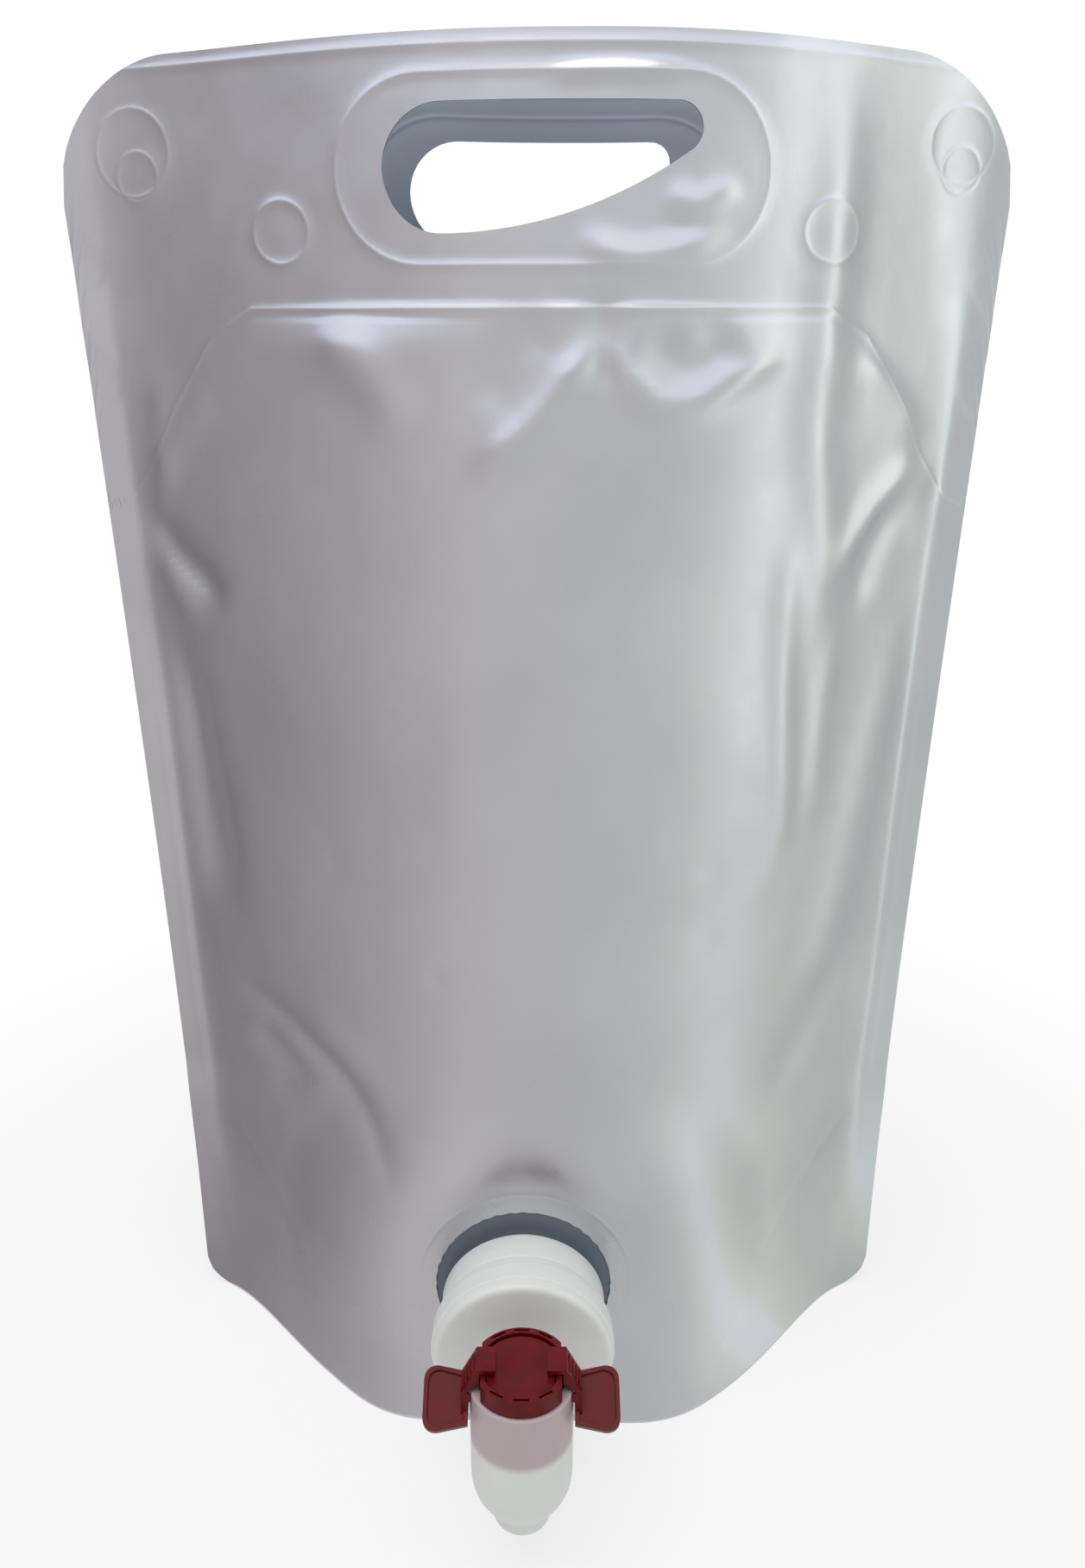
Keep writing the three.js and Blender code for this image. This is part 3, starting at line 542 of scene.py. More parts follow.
WAVE_HEIGHT = 0.16
BULGE_HEIGHT = 1.15
BULGE_DROP = 8.0
BULGE_HALF = 7.0
BULGE_START = 3.0
# The tap's pad is quiet within a radius, and its relief comes back over a blend
QUIET_RADIUS = 29.0
QUIET_BLEND = 20.0
# Where the films lie close together the folds keep a share of their height
SEAM_START = 1.0
SEAM_BLEND = 5.0
SEAM_SHARE = 0.35


def slow_waves(x, z, height):
    """The gentle unevenness of a filled and emptied film: three crossing waves of 60 to 110 mm."""
    return height * (
        np.sin(x / 17.0 + 0.6 * np.sin(z / 31.0))
        + 0.8 * np.sin(z / 14.5 + x / 40.0 + 1.1)
        + 0.7 * np.sin((x + z) / 11.5 + 2.0)
    )


def shoulder_bulge(x, z):
    """Below the header weld the film swells out in two lobes along X, highest 8 mm under the weld."""
    below = header_weld_height(x) - z
    lobes = 0.55 + 0.45 * np.cos((x - 45) / 12.5) * np.exp(-((x / 75) ** 4))
    swell = BULGE_HEIGHT * np.exp(-(((below - BULGE_DROP) / BULGE_HALF) ** 2))
    return swell * lobes * (below > 0) * smooth(below / BULGE_START)


def film_relief(x, z, side, emboss):
    """Outward height of everything pressed or folded into a film, in millimetres."""
    total = embossing(x, z, emboss)
    for fold in FRONT_FOLDS if side < 0 else BACK_FOLDS:
        total += crease(x, z, *fold)
    loose = slow_waves(x, z, WAVE_HEIGHT) + shoulder_bulge(x, z)
    quiet = 1.0
    if side < 0:
        quiet = smooth((np.hypot(x - TAP_X, z - TAP_Z) - QUIET_RADIUS) / QUIET_BLEND)
        for cx, cz, depth, half in FRONT_DENTS:
            loose -= depth * np.exp(-(((x - cx) ** 2 + (z - cz) ** 2) / half**2))
    seam = smooth((reach(x, z, side) - SEAM_START) / SEAM_BLEND)
    return total * quiet * (SEAM_SHARE + (1 - SEAM_SHARE) * seam) + loose * quiet * seam


FILM_BANDS = ((0, 72, 1.3), (72, 262, 2.0), (262, POUCH_HEIGHT, 0.7))
BACK_BANDS = ((0, 60, 2.4), (60, 255, 3.0), (255, POUCH_HEIGHT, 1.6))
BACK_STEP_RATIO = 1.5
GUSSET_COLUMNS = 120
GUSSET_RIM_POINTS = 9
GUSSET_SHEET_POINTS = 26


def film_sheet(side, bands, column_step, emboss, holes):
    """A film's outer face: reach, wall and relief along its outward direction."""
    x, z = film_plan(bands, column_step)
    faces = grid_faces(*x.shape)
    x, z, faces = cut_holes(x.ravel(), z.ravel(), faces, holes)
    base = np.stack([x, side * reach(x, z, side), z], -1)
    out = FILM_WALL + film_relief(x, z, side, emboss)
    normal = film_normal(x, z, side)
    sheets = [base + normal * (out - depth)[:, None] for depth in (0, FILM_WALL)]
    for sheet in sheets:
        sheet[:, 2] = np.clip(sheet[:, 2], 0, POUCH_HEIGHT)
    if side > 0:
        faces = faces[:, ::-1]
    marks = {key: np.tile(values, 2) for key, values in weld_marks(x, z).items()}
    return walled(*sheets, faces), marks


def gusset_grid(columns):
    """Middle line of the gusset, seam to seam: up the front rim, across the floor, down the back rim."""
    share = np.linspace(-1, 1, columns + 1)
    across = np.abs(share) * FOOT_HALF_WIDTH
    climb = np.clip((across - GUSSET_SEAL_FLAT_HALF) / (GUSSET_CLOSE_HALF - GUSSET_SEAL_FLAT_HALF), 0, 1)
    full = GUSSET_FOLD_HEIGHT - GUSSET_SEAL_HEIGHT - FILM_WALL
    seal = GUSSET_SEAL_HEIGHT + full * climb**GUSSET_SEAL_RISE_POWER
    rise = smooth((across - GUSSET_FLAT_HALF) / (GUSSET_CLOSE_HALF - GUSSET_FLAT_HALF))
    middle = FILM_WALL / 2 + (GUSSET_FOLD_HEIGHT - FILM_WALL / 2) * rise
    foot = corner_drop(share, FOOT_HALF_WIDTH, FOOT_CORNER_RADIUS)

    def rim(side, v):
        z = foot + (seal - foot) * v
        x = share * half_width(z)
        slant = 1 / np.abs(film_normal(x, z, side)[..., 1])
        inset = GUSSET_RIM_GAP + FILM_WALL / 2 * slant
        return np.stack([x, side * np.maximum(reach(x, z, side) - inset, (FIT_GAP + FILM_WALL) / 2), z], -1)

    up = [rim(-1, v) for v in np.linspace(0, 1, GUSSET_RIM_POINTS)]
    down = [rim(1, v) for v in np.linspace(1, 0, GUSSET_RIM_POINTS)]
    front, back = up[-1], down[0]
    sheet = []
    for u in np.linspace(0, 1, GUSSET_SHEET_POINTS)[1:-1]:
        z = seal + (middle - seal) * smooth(min(u, 1 - u) / GUSSET_SAG_SHARE)
        y = front[:, 1] + (back[:, 1] - front[:, 1]) * u
        sheet.append(np.stack([share * half_width(z), y, z], -1))
    return np.array(up + sheet + down)


# Mouldings


def rounded_profile(corners, steps=5):
    """A closed profile from (radius, height, rounding) corners, each rounding a short curve."""
    points = []
    corners = [np.array(c, float) for c in corners]
    for k, corner in enumerate(corners):
        before, after = corners[k - 1][:2], corners[(k + 1) % len(corners)][:2]
        here, rounding = corner[:2], corner[2]
        if rounding == 0:
            points.append(here)
            continue
        back = (before - here) / np.linalg.norm(before - here) * rounding
        on = (after - here) / np.linalg.norm(after - here) * rounding
        for u in np.linspace(0, 1, steps):
            points.append(here + back * (1 - u) ** 2 + on * u**2)
    return np.array(points)


def turned(profile, steps=96):
    """A closed profile carried round an upright axis, as a grid of (profile point, angle)."""
    turn = np.linspace(0, 2 * np.pi, steps, endpoint=False)
    r, height = profile[:, :1], profile[:, 1:2]
    return np.stack([r * np.cos(turn), r * np.sin(turn), height + 0 * turn], -1)


def outward(grid):
    """Turns a grid's upright axis to point out of the pouch along -Y, at the tap's place."""
    x, y, out = grid[..., 0], grid[..., 1], grid[..., 2]
    return np.stack([TAP_X + x, TAP_FACE - out, TAP_Z + y], -1)


BARREL_OUT = 41.0
BARREL_Y = TAP_FACE - BARREL_OUT


def at_barrel(grid):
    """Puts an upright grid on the barrel's axis, with its heights measured from the tap's middle."""
    return grid + np.array([TAP_X, BARREL_Y, TAP_Z])


def turned_piece(name, grids, material, body, nodes, loop=True):
    """One object from several turned grids, with each profile a closed loop or ending on its axis."""
    points, faces, count = [], [], 0
    for grid in grids:
        faces.append(grid_faces(*grid.shape[:2], loop, True) + count)
        points.append(grid.reshape(-1, 3))
        count += grid.shape[0] * grid.shape[1]
    points, faces = np.vstack(points), np.vstack(faces)
    return new_piece(name, points, faces, [material], body, nodes, closed=True)


GLAND_PROFILE = (
    (17.2, -1.9, 0.3), (28.0, -1.9, 0.6), (28.0, -0.3, 0.6), (17.6, -0.3, 0.0), (17.6, 2.4, 0.0),
    (20.25, 2.9, 0.6), (20.25, 11.0, 0.8), (17.2, 11.0, 0.3),
)
# A thin dark ring behind the tap hole, round the neck: it paints the shade in the gap between film and neck
GAP_SHADE_PROFILE = ((17.7, -0.22, 0.0), (26.5, -0.22, 0.0), (26.5, -0.12, 0.0), (17.7, -0.12, 0.0))
HEAD_PROFILE = (
    (14.9, -1.9, 0.4), (16.9, -1.9, 0.4), (16.9, 11.3, 0.0), (20.6, 11.3, 0.5), (20.6, 14.3, 0.0),
    (22.0, 14.5, 0.6), (22.0, 19.9, 0.3), (21.4, 20.2, 0.2), (21.4, 22.8, 1.8), (9.4, 22.8, 0.5),
    (9.0, 24.6, 0.0), (6.0, 24.6, 0.0), (6.0, 20.8, 0.0), (14.9, 20.8, 0.4),
)
BARREL_OUTLINE = (
    (11.1, 12.0), (11.5, 11.6), (11.5, 10.0), (11.5, 4.0), (11.5, -4.0), (11.5, -9.5), (11.5, -12.2),
    (11.4, -14.2), (10.95, -16.4), (10.0, -18.7), (8.6, -20.9), (7.55, -22.4), (7.15, -23.3),
    (6.8, -23.8), (6.65, -24.8), (6.45, -26.3), (5.9, -27.1), (5.1, -27.3),
)
BARREL_BORE = (
    (4.9, -27.0), (5.0, -24.0), (8.0, -19.6), (8.9, -15.8), (4.0, -15.6), (4.0, -14.2), (9.5, -14.2),
    (9.5, 5.1), (7.6, 5.1), (7.6, 6.6), (9.5, 6.6), (9.5, 12.0),
)
BRIDGE_BORE = 6.0
BRIDGE_RADIUS = 9.0
BRIDGE_START = 22.4
BRIDGE_INTO = 10.6


def bridge_grid(steps=96):
    """The tube between disc and barrel: its far end follows the barrel's round wall."""
    turn = np.linspace(0, 2 * np.pi, steps, endpoint=False)
    rings = []
    for radius, far in ((BRIDGE_BORE, 0), (BRIDGE_RADIUS, 0), (BRIDGE_RADIUS, 1), (BRIDGE_BORE, 1)):
        x = radius * np.cos(turn)
        saddle = BARREL_OUT - np.sqrt(BRIDGE_INTO**2 - x**2)
        out = saddle if far else np.full(steps, BRIDGE_START)
        rings.append(np.stack([x, radius * np.sin(turn), out], -1))
    return outward(np.array(rings))


# The grip's clip ring: how far before the barrel's axis it ends, in millimetres, and its heights in metres
CLIP_FRONT = 3.7
CLIP_HEIGHTS = (0.0493, 0.0519)
CAD_MERGE_DISTANCE = 2e-6
FLAT_ANGLE = math.radians(1)
BEVEL_ANGLE = math.radians(32)
BEVEL_SEGMENTS = 3


def trim_fingers(shell):
    """Ends the grip's clip ring at its arms: what lies before them between its heights goes."""
    limit = (BARREL_Y - CLIP_FRONT) * MM
    parts = shell.verts[:] + shell.edges[:] + shell.faces[:]
    bmesh.ops.bisect_plane(shell, geom=parts, plane_co=(0, limit, 0), plane_no=(0, -1, 0))
    low, high = CLIP_HEIGHTS
    past = [v for v in shell.verts if v.co.y < limit - MERGE_DISTANCE and low < v.co.z < high]
    bmesh.ops.delete(shell, geom=past, context="VERTS")
    bmesh.ops.holes_fill(shell, edges=[e for e in shell.edges if e.is_boundary])


def softened_copy(node, name, material, body, rounding):
    """A merged copy of a CAD node's mesh with its moulded edges rounded, standing for the node."""
    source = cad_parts[node]
    mesh = source.data.copy()
    mesh.name = name
    mesh.transform(source.matrix_world)
    shell = bmesh.new()
    shell.from_mesh(mesh)
    bmesh.ops.remove_doubles(shell, verts=shell.verts, dist=CAD_MERGE_DISTANCE)
    if node == "finger_grip":
        trim_fingers(shell)
    bmesh.ops.dissolve_limit(shell, angle_limit=FLAT_ANGLE, verts=shell.verts, edges=shell.edges)
    shell.to_mesh(mesh)
    shell.free()
    mesh.materials.clear()
    mesh.materials.append(material)
    piece = placed(name, mesh)
    edge = piece.modifiers.new("moulded edges", "BEVEL")
    edge.width = rounding * MM
    edge.segments = BEVEL_SEGMENTS
    edge.limit_method = "ANGLE"
    edge.angle_limit = BEVEL_ANGLE
    mesh.shade_smooth()
    flat = piece.modifiers.new("flat faces", "WEIGHTED_NORMAL")
    flat.keep_sharp = True
    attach(piece, body)
    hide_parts(node)
    return piece


ARM_SLOPE = ((9.9, 18.2), (13.3, 11.7))
RIB_SHARES = (0.2, 0.42, 0.64, 0.86)
RIB_RADIUS = 0.42
RIB_HALF_LENGTH = 2.8


def grip_ribs():
    """Four short rounded bars across the outer slope of each arm, for the finger to hold."""
    along = np.linspace(-1, 1, 13)[:, None]
    turn = np.linspace(0, 2 * np.pi, 12, endpoint=False)
    radius = RIB_RADIUS * np.sqrt(np.maximum(1 - along**8, 0))
    bar = np.stack([radius * np.cos(turn), RIB_HALF_LENGTH * along + 0 * turn, radius * np.sin(turn)], -1)
    high, low = np.array(ARM_SLOPE)
    ribs = []
    for side in (-1, 1):
        for share in RIB_SHARES:
            x, z = high + (low - high) * share
            ribs.append(at_barrel(bar + np.array([side * x, 0, z])))
    return ribs


BELLOWS_FOOT_RADIUS = 8.9
BELLOWS_NARROWING = 3.2
BELLOWS_FOLD = 0.9
BELLOWS_WIDEST = 9.0
BELLOWS_WALL = 0.8


def bellows_profile():
    """Thin wall from the ledge up to the button's underside: it narrows, with one and a half waves."""
    foot, top = BELLOWS_LOW[2] - TAP_Z, BELLOWS_HIGH[2] - TAP_Z
    height = np.linspace(foot, top, 13)
    u = (height - foot) / (top - foot)
    radius = BELLOWS_FOOT_RADIUS - BELLOWS_NARROWING * smooth(u) - BELLOWS_FOLD * np.sin(u * 3 * np.pi)
    radius = np.minimum(radius, BELLOWS_WIDEST)
    outer = np.stack([radius, height], -1)
    inner = np.stack([radius - BELLOWS_WALL, height], -1)[::-1]
    return np.vstack([outer, inner])


# Materials


def linear(colour):
    """An sRGB hex value as linear red, green, blue and alpha."""
    values = np.array([int(colour[k : k + 2], 16) / 255 for k in (1, 3, 5)])
    values = np.where(values <= 0.04045, values / 12.92, ((values + 0.055) / 1.055) ** 2.4)
    return (*values, 1.0)


def add_node(material, kind, settings=()):
    """Adds one node: settings are (attribute or input, value or the output of another node)."""
    tree = material.node_tree
    node = tree.nodes.new(kind)
    for key, value in dict(settings).items():
        if isinstance(value, bpy.types.NodeSocket):
            tree.links.new(value, node.inputs[key])
        elif isinstance(key, str) and hasattr(node, key):
            setattr(node, key, value)
        else:
            node.inputs[key].default_value = value
    return node


def add_math(material, operation, *values):
    """One step of arithmetic on numbers or outputs."""
    settings = {"operation": operation, **dict(enumerate(values))}
    return add_node(material, "ShaderNodeMath", settings).outputs[0]


def map_range(material, value, low, high, to_low=0.0, to_high=1.0, ease="LINEAR"):
    """Carries a value from one range to another and holds it at both ends."""
    settings = {
        "interpolation_type": ease, "Value": value,
        "From Min": low, "From Max": high, "To Min": to_low, "To Max": to_high,
    }
    return add_node(material, "ShaderNodeMapRange", settings).outputs["Result"]


def object_place(material):
    """Object coordinates, in metres."""
    return add_node(material, "ShaderNodeTexCoord").outputs["Object"]


def object_axes(material):
    """Object coordinates as X, Y and Z."""
    return add_node(material, "ShaderNodeSeparateXYZ", {0: object_place(material)}).outputs


def object_distance(material):
    """Distance from the origin, in metres."""
    settings = {"operation": "LENGTH", 0: object_place(material)}
    return add_node(material, "ShaderNodeVectorMath", settings).outputs["Value"]


def object_noise(material, size_mm, detail):
    """Noise on Object coordinates whose grains are size_mm across."""
    settings = {"Scale": 1 / (size_mm * MM), "Detail": detail, "Vector": object_place(material)}
    return add_node(material, "ShaderNodeTexNoise", settings).outputs["Fac"]


def spread(material, noise, low, high):
    """Maps a noise from its usual 0.3 to 0.7 onto low to high."""
    return map_range(material, noise, 0.3, 0.7, low, high)


def two_colours(material, share, first, second, blend="MIX"):
    """Mixes two colours, each a hex value or an output, by a share from 0 to 1."""
    first, second = (linear(value) if isinstance(value, str) else value for value in (first, second))
    settings = {"data_type": "RGBA", "blend_type": blend, 0: share, 6: first, 7: second}
    return add_node(material, "ShaderNodeMix", settings).outputs[2]


def shift_colour(colour, amount):
    """The hex colour a little lighter or darker, by amount out of 255."""
    return "#" + "".join(f"{min(max(int(colour[k:k + 2], 16) + amount, 0), 255):02x}" for k in (1, 3, 5))


def mottled(material, noise, colour, darker, lighter):
    """A colour that wanders with a noise from a darker to a lighter shade, by amounts out of 255."""
    share = spread(material, noise, 0.0, 1.0)
    return two_colours(material, share, shift_colour(colour, darker), shift_colour(colour, lighter))


def bump(material, height, strength, distance_mm, below=None):
    """The normal over a height, on top of the bump below it."""
    settings = {"Strength": strength, "Distance": distance_mm * MM, "Height": height}
    if below is not None:
        settings["Normal"] = below
    return add_node(material, "ShaderNodeBump", settings).outputs["Normal"]


def new_material(name, **values):
    """A material with one Principled shader, its uniform values set on the shader's own sockets."""
    material = bpy.data.materials.new(name)
    material.use_nodes = True
    shader = material.node_tree.nodes["Principled BSDF"]
    for key, value in values.items():
        shader.inputs[key.replace("_", " ")].default_value = value
    return material, shader


def plug(material, shader, **outputs):
    """Links outputs to the shader's sockets."""
    for key, output in outputs.items():
        material.node_tree.links.new(output, shader.inputs[key.replace("_", " ")])


def pressed_lines(material):
    """Height of the fine pressed lines: exp(-(distance / half)^2) of the nearer stored distance."""
    nearer = []
    for key in ("weld_line", "ring_line"):
        stored = add_node(material, "ShaderNodeAttribute", {"attribute_name": key}).outputs["Fac"]
        nearer.append(add_math(material, "ABSOLUTE", stored))
    share = add_math(material, "DIVIDE", add_math(material, "MINIMUM", *nearer), LINE_HALF)
    square = add_math(material, "MULTIPLY", share, share)
    return add_math(material, "EXPONENT", add_math(material, "MULTIPLY", square, -1.0))


# Half width of a drawn line, in millimetres, and how far the film's roughness wanders
LINE_HALF = 0.55
ROUGH_WANDER = 0.035
# Heights from the tap's middle between which the red behind the barrel's wall comes in
TINT_HEIGHTS = (-3.2, -0.4)


def metallised_film(name, colour, metallic, rough):
    """Vapour-metallised polyester film, laminated and satin: a soft metal sheen.

    The eye sees broad blurred reflections, slow cloudiness and a faint orange peel of about 2 mm.
    """
    material, shader = new_material(name, Metallic=metallic)
    crumple = bump(material, object_noise(material, 16, 3.0), 0.22, 0.6)
    peel = bump(material, object_noise(material, 2.2, 1.0), 0.05, 0.03, crumple)
    rub = object_noise(material, 9, 3.0)
    plug(
        material, shader,
        Base_Color=mottled(material, object_noise(material, 38, 3.0), colour, -4, 4),
        Roughness=spread(material, rub, rough - ROUGH_WANDER, rough + ROUGH_WANDER),
        Normal=bump(material, pressed_lines(material), 0.55, 0.13, peel),
    )
    return material


def milky_polyethylene(name, milky, tinted=None):
    """Injection-moulded natural polyethylene: milky, slightly translucent, soft gloss.

    Where a red piece stands behind the wall its colour shows through.
    """
    material, shader = new_material(
        name, Roughness=0.36, IOR=1.51, Subsurface_Weight=0.35,
        Subsurface_Radius=(1.0, 0.95, 0.9), Subsurface_Scale=2.5 * MM,
    )
    colour = mottled(material, object_noise(material, 6, 2.0), milky, -3, 0)
    if tinted:
        low, high = ((TAP_Z + height) * MM for height in TINT_HEIGHTS)
        share = map_range(material, object_axes(material)["Z"], low, high, ease="SMOOTHSTEP")
        colour = two_colours(material, share, colour, tinted)
    skin = bump(material, object_noise(material, 1.2, 2.0), 0.1, 0.05)
    plug(material, shader, Base_Color=colour, Normal=skin)
    return material


def red_polypropylene(name, colour):
    """Moulded red polypropylene: deep colour, satin gloss and slight flow marks."""
    material, shader = new_material(name, IOR=1.49, Specular_IOR_Level=0.18)
    flow = object_noise(material, 4, 3.0)
    plug(
        material, shader,
        Base_Color=mottled(material, flow, colour, -9, 6),
        Roughness=spread(material, flow, 0.3, 0.4),
        Normal=bump(material, object_noise(material, 0.7, 2.0), 0.15, 0.04),
    )
    return material


def soft_elastomer(name, colour):
    """Moulded thermoplastic elastomer: matt and slightly translucent."""
    material, shader = new_material(name, Roughness=0.62, IOR=1.48)
    plug(material, shader, Base_Color=mottled(material, object_noise(material, 3, 2.0), colour, -6, 0))
    return material


# Studio


# What the gloss sees all round, by compass angle from the front in degrees, left negative
SURROUND_TONES = (
    (-180, "#a09e9e"), (-112, "#574e4f"), (-84, "#777071"), (-62, "#8b8587"), (-44, "#999595"),
    (-24, "#adaaa9"), (0, "#acaba9"), (16, "#a9abaa"), (40, "#aeb4ae"), (58, "#bfc9bf"), (66, "#f8ffff"),
    (73, "#bcc5b7"), (88, "#a6ada6"), (112, "#a0a5a2"), (140, "#a2a2a2"), (180, "#a09e9e"),
)
SKY_TONE = "#e3ebfb"
SKY_HEIGHTS = (0.82, 1.12)
FLOOR_LIMIT = "#c5cfcd"
FLOOR_FADE = (0.4, 0.8)
SURROUND_GAIN = 1.75
SURROUND_PROFILE = ((0.001, 0.0006), (1.7, 0.0006), (1.7, 1.4))
FLOOR_HALF = 3.0
FLOOR_TONE = "#f6f6f6"
# Distances from the origin over which the floor turns white, and how white it is at the first
SHADOW_FADE = (0.08, 0.34)
SHADOW_WHITE = 0.72
# Lamps: name, place, aim, size and colour
LAMPS = (
    ("overhead softbox", (-0.15, -0.35, 1.25), (0, 0, 0.15), (1.1, 0.9), "#fffdfa"),
    ("window panel", (1.05, -0.35, 0.55), (0, 0, 0.2), (0.35, 0.9), "#f3fbf0"),
)


def surround():
    """A round room that only the gloss sees: dark mauve at the left, a window at the right."""
    grid = turned(np.array(SURROUND_PROFILE), 64)
    mesh = bpy.data.meshes.new("surround")
    faces = grid_faces(*grid.shape[:2], False, True)
    mesh.from_pydata(grid.reshape(-1, 3).tolist(), [], faces.tolist())
    room = placed("surround", mesh)
    material = bpy.data.materials.new("surround")
    material.use_nodes = True
    tree = material.node_tree
    tree.nodes.remove(tree.nodes["Principled BSDF"])
    axes = object_axes(material)
    angle = add_math(material, "ARCTAN2", axes["X"], add_math(material, "MULTIPLY", axes["Y"], -1.0))
    tones = add_node(material, "ShaderNodeValToRGB", {0: map_range(material, angle, -math.pi, math.pi)})
    stops = tones.color_ramp.elements
    for stop, (degrees, colour) in zip(stops, (SURROUND_TONES[0], SURROUND_TONES[-1])):
        stop.position = (degrees + 180) / 360
        stop.color = linear(colour)
    for degrees, colour in SURROUND_TONES[1:-1]:
        stops.new((degrees + 180) / 360).color = linear(colour)
    high = map_range(material, axes["Z"], *SKY_HEIGHTS, ease="SMOOTHSTEP")
    sky = two_colours(material, high, tones.outputs["Color"], SKY_TONE)
    near = map_range(material, object_distance(material), *FLOOR_FADE, 1.0, 0.0)
    seen = two_colours(material, near, sky, FLOOR_LIMIT, "DARKEN")
    glow = add_node(material, "ShaderNodeEmission", {"Color": seen, "Strength": SURROUND_GAIN})
    tree.links.new(glow.outputs[0], tree.nodes["Material Output"].inputs["Surface"])
    mesh.materials.append(material)
    room.visible_camera = False
    room.visible_diffuse = False
    room.visible_shadow = False
    room.visible_transmission = False


def area_light(name, place, aim, size, colour, watts):
    """A soft rectangular lamp aimed at a point."""
    lamp = bpy.data.lights.new(name, "AREA")
    lamp.shape = "RECTANGLE"
    lamp.size, lamp.size_y = size
    lamp.energy = watts
    lamp.color = linear(colour)[:3]
    made = placed(name, lamp)
    made.location = place
    x, y, z = np.array(aim) - np.array(place)
    made.rotation_euler = (math.atan2(math.hypot(x, y), -z), 0, math.atan2(y, x) - math.pi / 2)


def seen_rays(material):
    """1 for rays from the camera, a glossy surface or through a clear one, else 0."""
    path = add_node(material, "ShaderNodeLightPath").outputs
    first = add_math(material, "MAXIMUM", path["Is Camera Ray"], path["Is Glossy Ray"])
    return add_math(material, "MAXIMUM", first, path["Is Transmission Ray"])


def make_world(fill):
    """White where it is seen, and a plain fill of light on the object."""
    world = bpy.data.worlds.new("studio")
    bpy.context.scene.world = world
    world.use_nodes = True
    background = world.node_tree.nodes["Background"]
    background.inputs["Color"].default_value = (1, 1, 1, 1)
    level = map_range(world, seen_rays(world), 0.0, 1.0, fill, 1.0)
    world.node_tree.links.new(level, background.inputs["Strength"])


def make_floor():
    """A white floor that keeps the shadow near the object and fades to the white background."""
    corners = [(x * FLOOR_HALF, y * FLOOR_HALF, 0) for x, y in ((-1, -1), (1, -1), (1, 1), (-1, 1))]
    mesh = bpy.data.meshes.new("floor")
    mesh.from_pydata(corners, [], [(0, 1, 2, 3)])
    floor = placed("floor", mesh)
    material, shader = new_material(
        "white floor", Roughness=0.9, Base_Color=linear(FLOOR_TONE), Specular_IOR_Level=0.1
    )
    tree = material.node_tree
    fade = map_range(
        material, object_distance(material), *SHADOW_FADE, SHADOW_WHITE, 1.0, ease="SMOOTHSTEP"
    )
    share = add_math(material, "MULTIPLY", fade, seen_rays(material))
    white = add_node(material, "ShaderNodeEmission", {"Color": (1, 1, 1, 1), "Strength": 1.0})
    settings = {0: share, 1: shader.outputs[0], 2: white.outputs[0]}
    both = add_node(material, "ShaderNodeMixShader", settings)
    tree.links.new(both.outputs[0], tree.nodes["Material Output"].inputs["Surface"])
    mesh.materials.append(material)


def make_camera():
    """The photograph's camera: focus in pixels to a lens, its middle to a small shift."""
    lens = bpy.data.cameras.new("photo camera")
    longest = max(PHOTO_SIZE)
    lens.sensor_width = 36.0
    lens.lens = PHOTO_FOCUS * lens.sensor_width / longest
    lens.shift_x = (PHOTO_SIZE[0] / 2 - PHOTO_CENTRE[0]) / longest
    lens.shift_y = (PHOTO_CENTRE[1] - PHOTO_SIZE[1] / 2) / longest
    lens.clip_start = 0.01
    camera = placed("photo camera", lens)
    camera.location = CAMERA_PLACE
    camera.rotation_euler = (math.radians(90 - CAMERA_PITCH), 0, 0)
    bpy.context.scene.camera = camera


# Operators


class POUCH_OT_stage(bpy.types.Operator):
    """Makes the camera, floor, world, lamps and the room that the gloss sees"""

    bl_idname = "pouch.stage"
    bl_label = "Studio"

    def execute(self, context):
        settings = context.scene.pouch_stage
        make_camera()
        make_world(settings.fill)
        make_floor()
        for lamp, watts in zip(LAMPS, (settings.key_watts, settings.window_watts)):
            area_light(*lamp, watts)
        surround()
        context.scene.view_settings.view_transform = "Standard"
        return {"FINISHED"}


def film_materials(settings):
    """The film's outside and inside, made once."""
    # The inner face's blue tint is a painted reflection of sky light on its silver, and the same material
    # paints the shade on the cut edges
    wanted = (
        ("satin metallised film", settings.outside, 0.82, 0.3),
        ("film inner face with painted sky and edge shade", settings.inside, 0.55, 0.42),
    )
    return [bpy.data.materials.get(values[0]) or metallised_film(*values) for values in wanted]


def make_film(settings, name, node, side, bands, column_step, holes):
    """One panel of the pouch: its sheet, and the CAD node that it stands for."""
    (points, faces, numbers), marks = film_sheet(side, bands, column_step, settings.emboss, holes)
    new_piece(
        name, points, faces, film_materials(settings), "pouch", (node,),
        marks=marks, face_materials=numbers,
    )


class POUCH_OT_front_film(bpy.types.Operator):
    """Makes the front film with its embossing, folds, hand hole and tap hole"""

    bl_idname = "pouch.front_film"
    bl_label = "Front film"

    def execute(self, context):
        settings = context.scene.pouch_film
        centre = (TAP_X, TAP_Z + HOLE_RISE)
        tap_hole = ragged_circle(centre, TAP_HOLE_RADIUS, HOLE_RIPPLE, HOLE_RIPPLES)
        holes = (handle_path(), tap_hole)
        step = settings.column_step
        make_film(settings, "front_film_sheet", "front_film", -1, FILM_BANDS, step, holes)
        return {"FINISHED"}


class POUCH_OT_back_film(bpy.types.Operator):
    """Makes the back film with its folds and hand hole"""

    bl_idname = "pouch.back_film"
    bl_label = "Back film"

    def execute(self, context):
        settings = context.scene.pouch_film
        step = settings.column_step * BACK_STEP_RATIO
        make_film(settings, "back_film_sheet", "back_film", 1, BACK_BANDS, step, (handle_path(),))
        return {"FINISHED"}


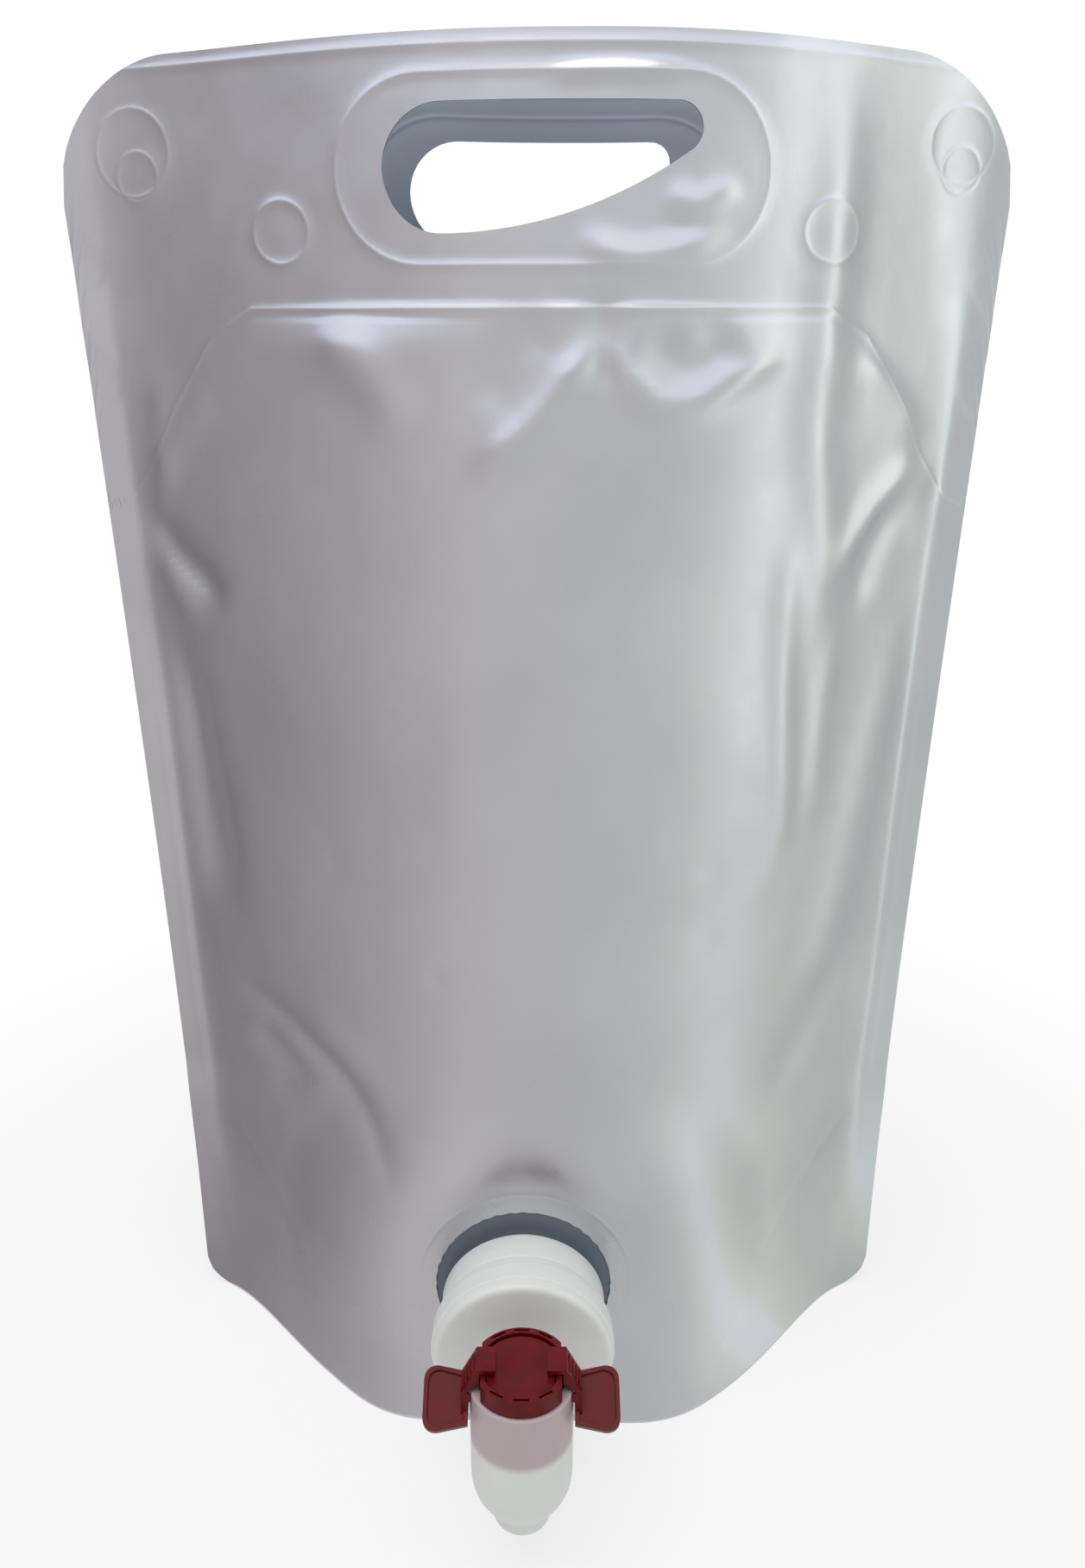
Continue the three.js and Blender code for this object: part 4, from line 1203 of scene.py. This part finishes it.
class POUCH_OT_gusset(bpy.types.Operator):
    """Makes the foot gusset: a rim up each film and the sheet between them"""

    bl_idname = "pouch.gusset"
    bl_label = "Foot gusset"

    def execute(self, context):
        grid = gusset_grid(GUSSET_COLUMNS)
        faces = grid_faces(*grid.shape[:2])
        normal = np.cross(np.gradient(grid, axis=1), np.gradient(grid, axis=0))
        normal /= np.maximum(np.linalg.norm(normal, axis=-1, keepdims=True), 1e-9)
        half = normal * FILM_WALL / 2
        sheets = [(grid + half).reshape(-1, 3), (grid - half).reshape(-1, 3)]
        for sheet in sheets:
            sheet[:, 2] = np.maximum(sheet[:, 2], 0)
        points, faces, numbers = walled(*sheets, faces)
        new_piece(
            "gusset_sheet", points, faces, film_materials(context.scene.pouch_film)[::-1], "pouch",
            ("bottom_gusset",), face_materials=numbers,
        )
        return {"FINISHED"}


class POUCH_OT_tap(bpy.types.Operator):
    """Makes the milky gland and tap body"""

    bl_idname = "pouch.tap"
    bl_label = "Milky mouldings"

    def execute(self, context):
        settings = context.scene.pouch_tap
        milky = milky_polyethylene("milky polyethylene", settings.milky)
        tinted = milky_polyethylene("milky polyethylene, red behind", settings.milky, settings.tinted)
        gland = outward(turned(rounded_profile(GLAND_PROFILE)))
        turned_piece("gland_moulding", [gland], milky, "pouch", ("tap_gland",))
        # The dark ring in the tap hole is painted shade: it stands in for the shadowed flange behind the
        # film
        gap_shade = outward(turned(rounded_profile(GAP_SHADE_PROFILE)))
        shade = metallised_film("painted shade in the tap hole", settings.gap_shade, 0.3, 0.5)
        turned_piece("gland_gap_shade", [gap_shade], shade, "pouch", ())
        head = outward(turned(rounded_profile(HEAD_PROFILE)))
        turned_piece("tap_head", [head, bridge_grid()], milky, "pouch", ("tap_body",))
        barrel = at_barrel(turned(np.vstack([smooth_path(BARREL_OUTLINE, 4), BARREL_BORE])))
        turned_piece("tap_barrel", [barrel], tinted, "pouch", ("tap_body",))
        return {"FINISHED"}


class POUCH_OT_red_pieces(bpy.types.Operator):
    """Makes the cap ring, the finger grip, the press button and the plunger"""

    bl_idname = "pouch.red_pieces"
    bl_label = "Red mouldings"

    def execute(self, context):
        settings = context.scene.pouch_tap
        red = red_polypropylene("red polypropylene", settings.red)
        for node, body, rounding in (
            ("cap_ring", "pouch", 0.25),
            ("finger_grip", "pouch", settings.bevel),
            ("press_button", "button", 0.3),
            ("valve_plunger", "button", 0.2),
        ):
            softened_copy(node, node + "_moulding", red, body, rounding)
        turned_piece("grip_ribs", grip_ribs(), red, "pouch", ("finger_grip",), loop=False)
        return {"FINISHED"}


class POUCH_OT_seals(bpy.types.Operator):
    """Makes the bellows and gives the valve seal its elastomer"""

    bl_idname = "pouch.seals"
    bl_label = "Seal and bellows"

    def execute(self, context):
        soft = soft_elastomer("soft elastomer", "#c7cbc9")
        softened_copy("valve_seal", "valve_seal_moulding", soft, "button", 0.2)
        bellows = turned_piece(
            "bellows_moulding", [at_barrel(turned(bellows_profile(), 64))], soft, "pouch",
            ("return_bellows",),
        )
        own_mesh(bellows)
        return {"FINISHED"}


class POUCH_PT_panel(bpy.types.Panel):
    """Lists the pouch's operators"""

    bl_label = "Pouch"
    bl_space_type = "VIEW_3D"
    bl_region_type = "UI"
    bl_category = "Pouch"

    def draw(self, context):
        for operator in OPERATORS:
            self.layout.operator(operator.bl_idname)
        for settings in (context.scene.pouch_film, context.scene.pouch_tap, context.scene.pouch_stage):
            for key in settings.bl_rna.properties.keys():
                if key not in ("rna_type", "name"):
                    self.layout.prop(settings, key)


OPERATORS = (
    POUCH_OT_stage,
    POUCH_OT_front_film,
    POUCH_OT_back_film,
    POUCH_OT_gusset,
    POUCH_OT_tap,
    POUCH_OT_red_pieces,
    POUCH_OT_seals,
)
CLASSES = (PouchFilmSettings, PouchTapSettings, PouchStageSettings, *OPERATORS, POUCH_PT_panel)


def register():
    for entry in CLASSES:
        bpy.utils.register_class(entry)
    bpy.types.Scene.pouch_film = bpy.props.PointerProperty(type=PouchFilmSettings)
    bpy.types.Scene.pouch_tap = bpy.props.PointerProperty(type=PouchTapSettings)
    bpy.types.Scene.pouch_stage = bpy.props.PointerProperty(type=PouchStageSettings)


def unregister():
    del bpy.types.Scene.pouch_stage
    del bpy.types.Scene.pouch_tap
    del bpy.types.Scene.pouch_film
    for entry in reversed(CLASSES):
        bpy.utils.unregister_class(entry)


def main():
    register()
    bpy.ops.pouch.stage()
    bpy.ops.pouch.front_film()
    bpy.ops.pouch.back_film()
    bpy.ops.pouch.gusset()
    bpy.ops.pouch.tap()
    bpy.ops.pouch.red_pieces()
    bpy.ops.pouch.seals()


if __name__ == "__main__":
    main()
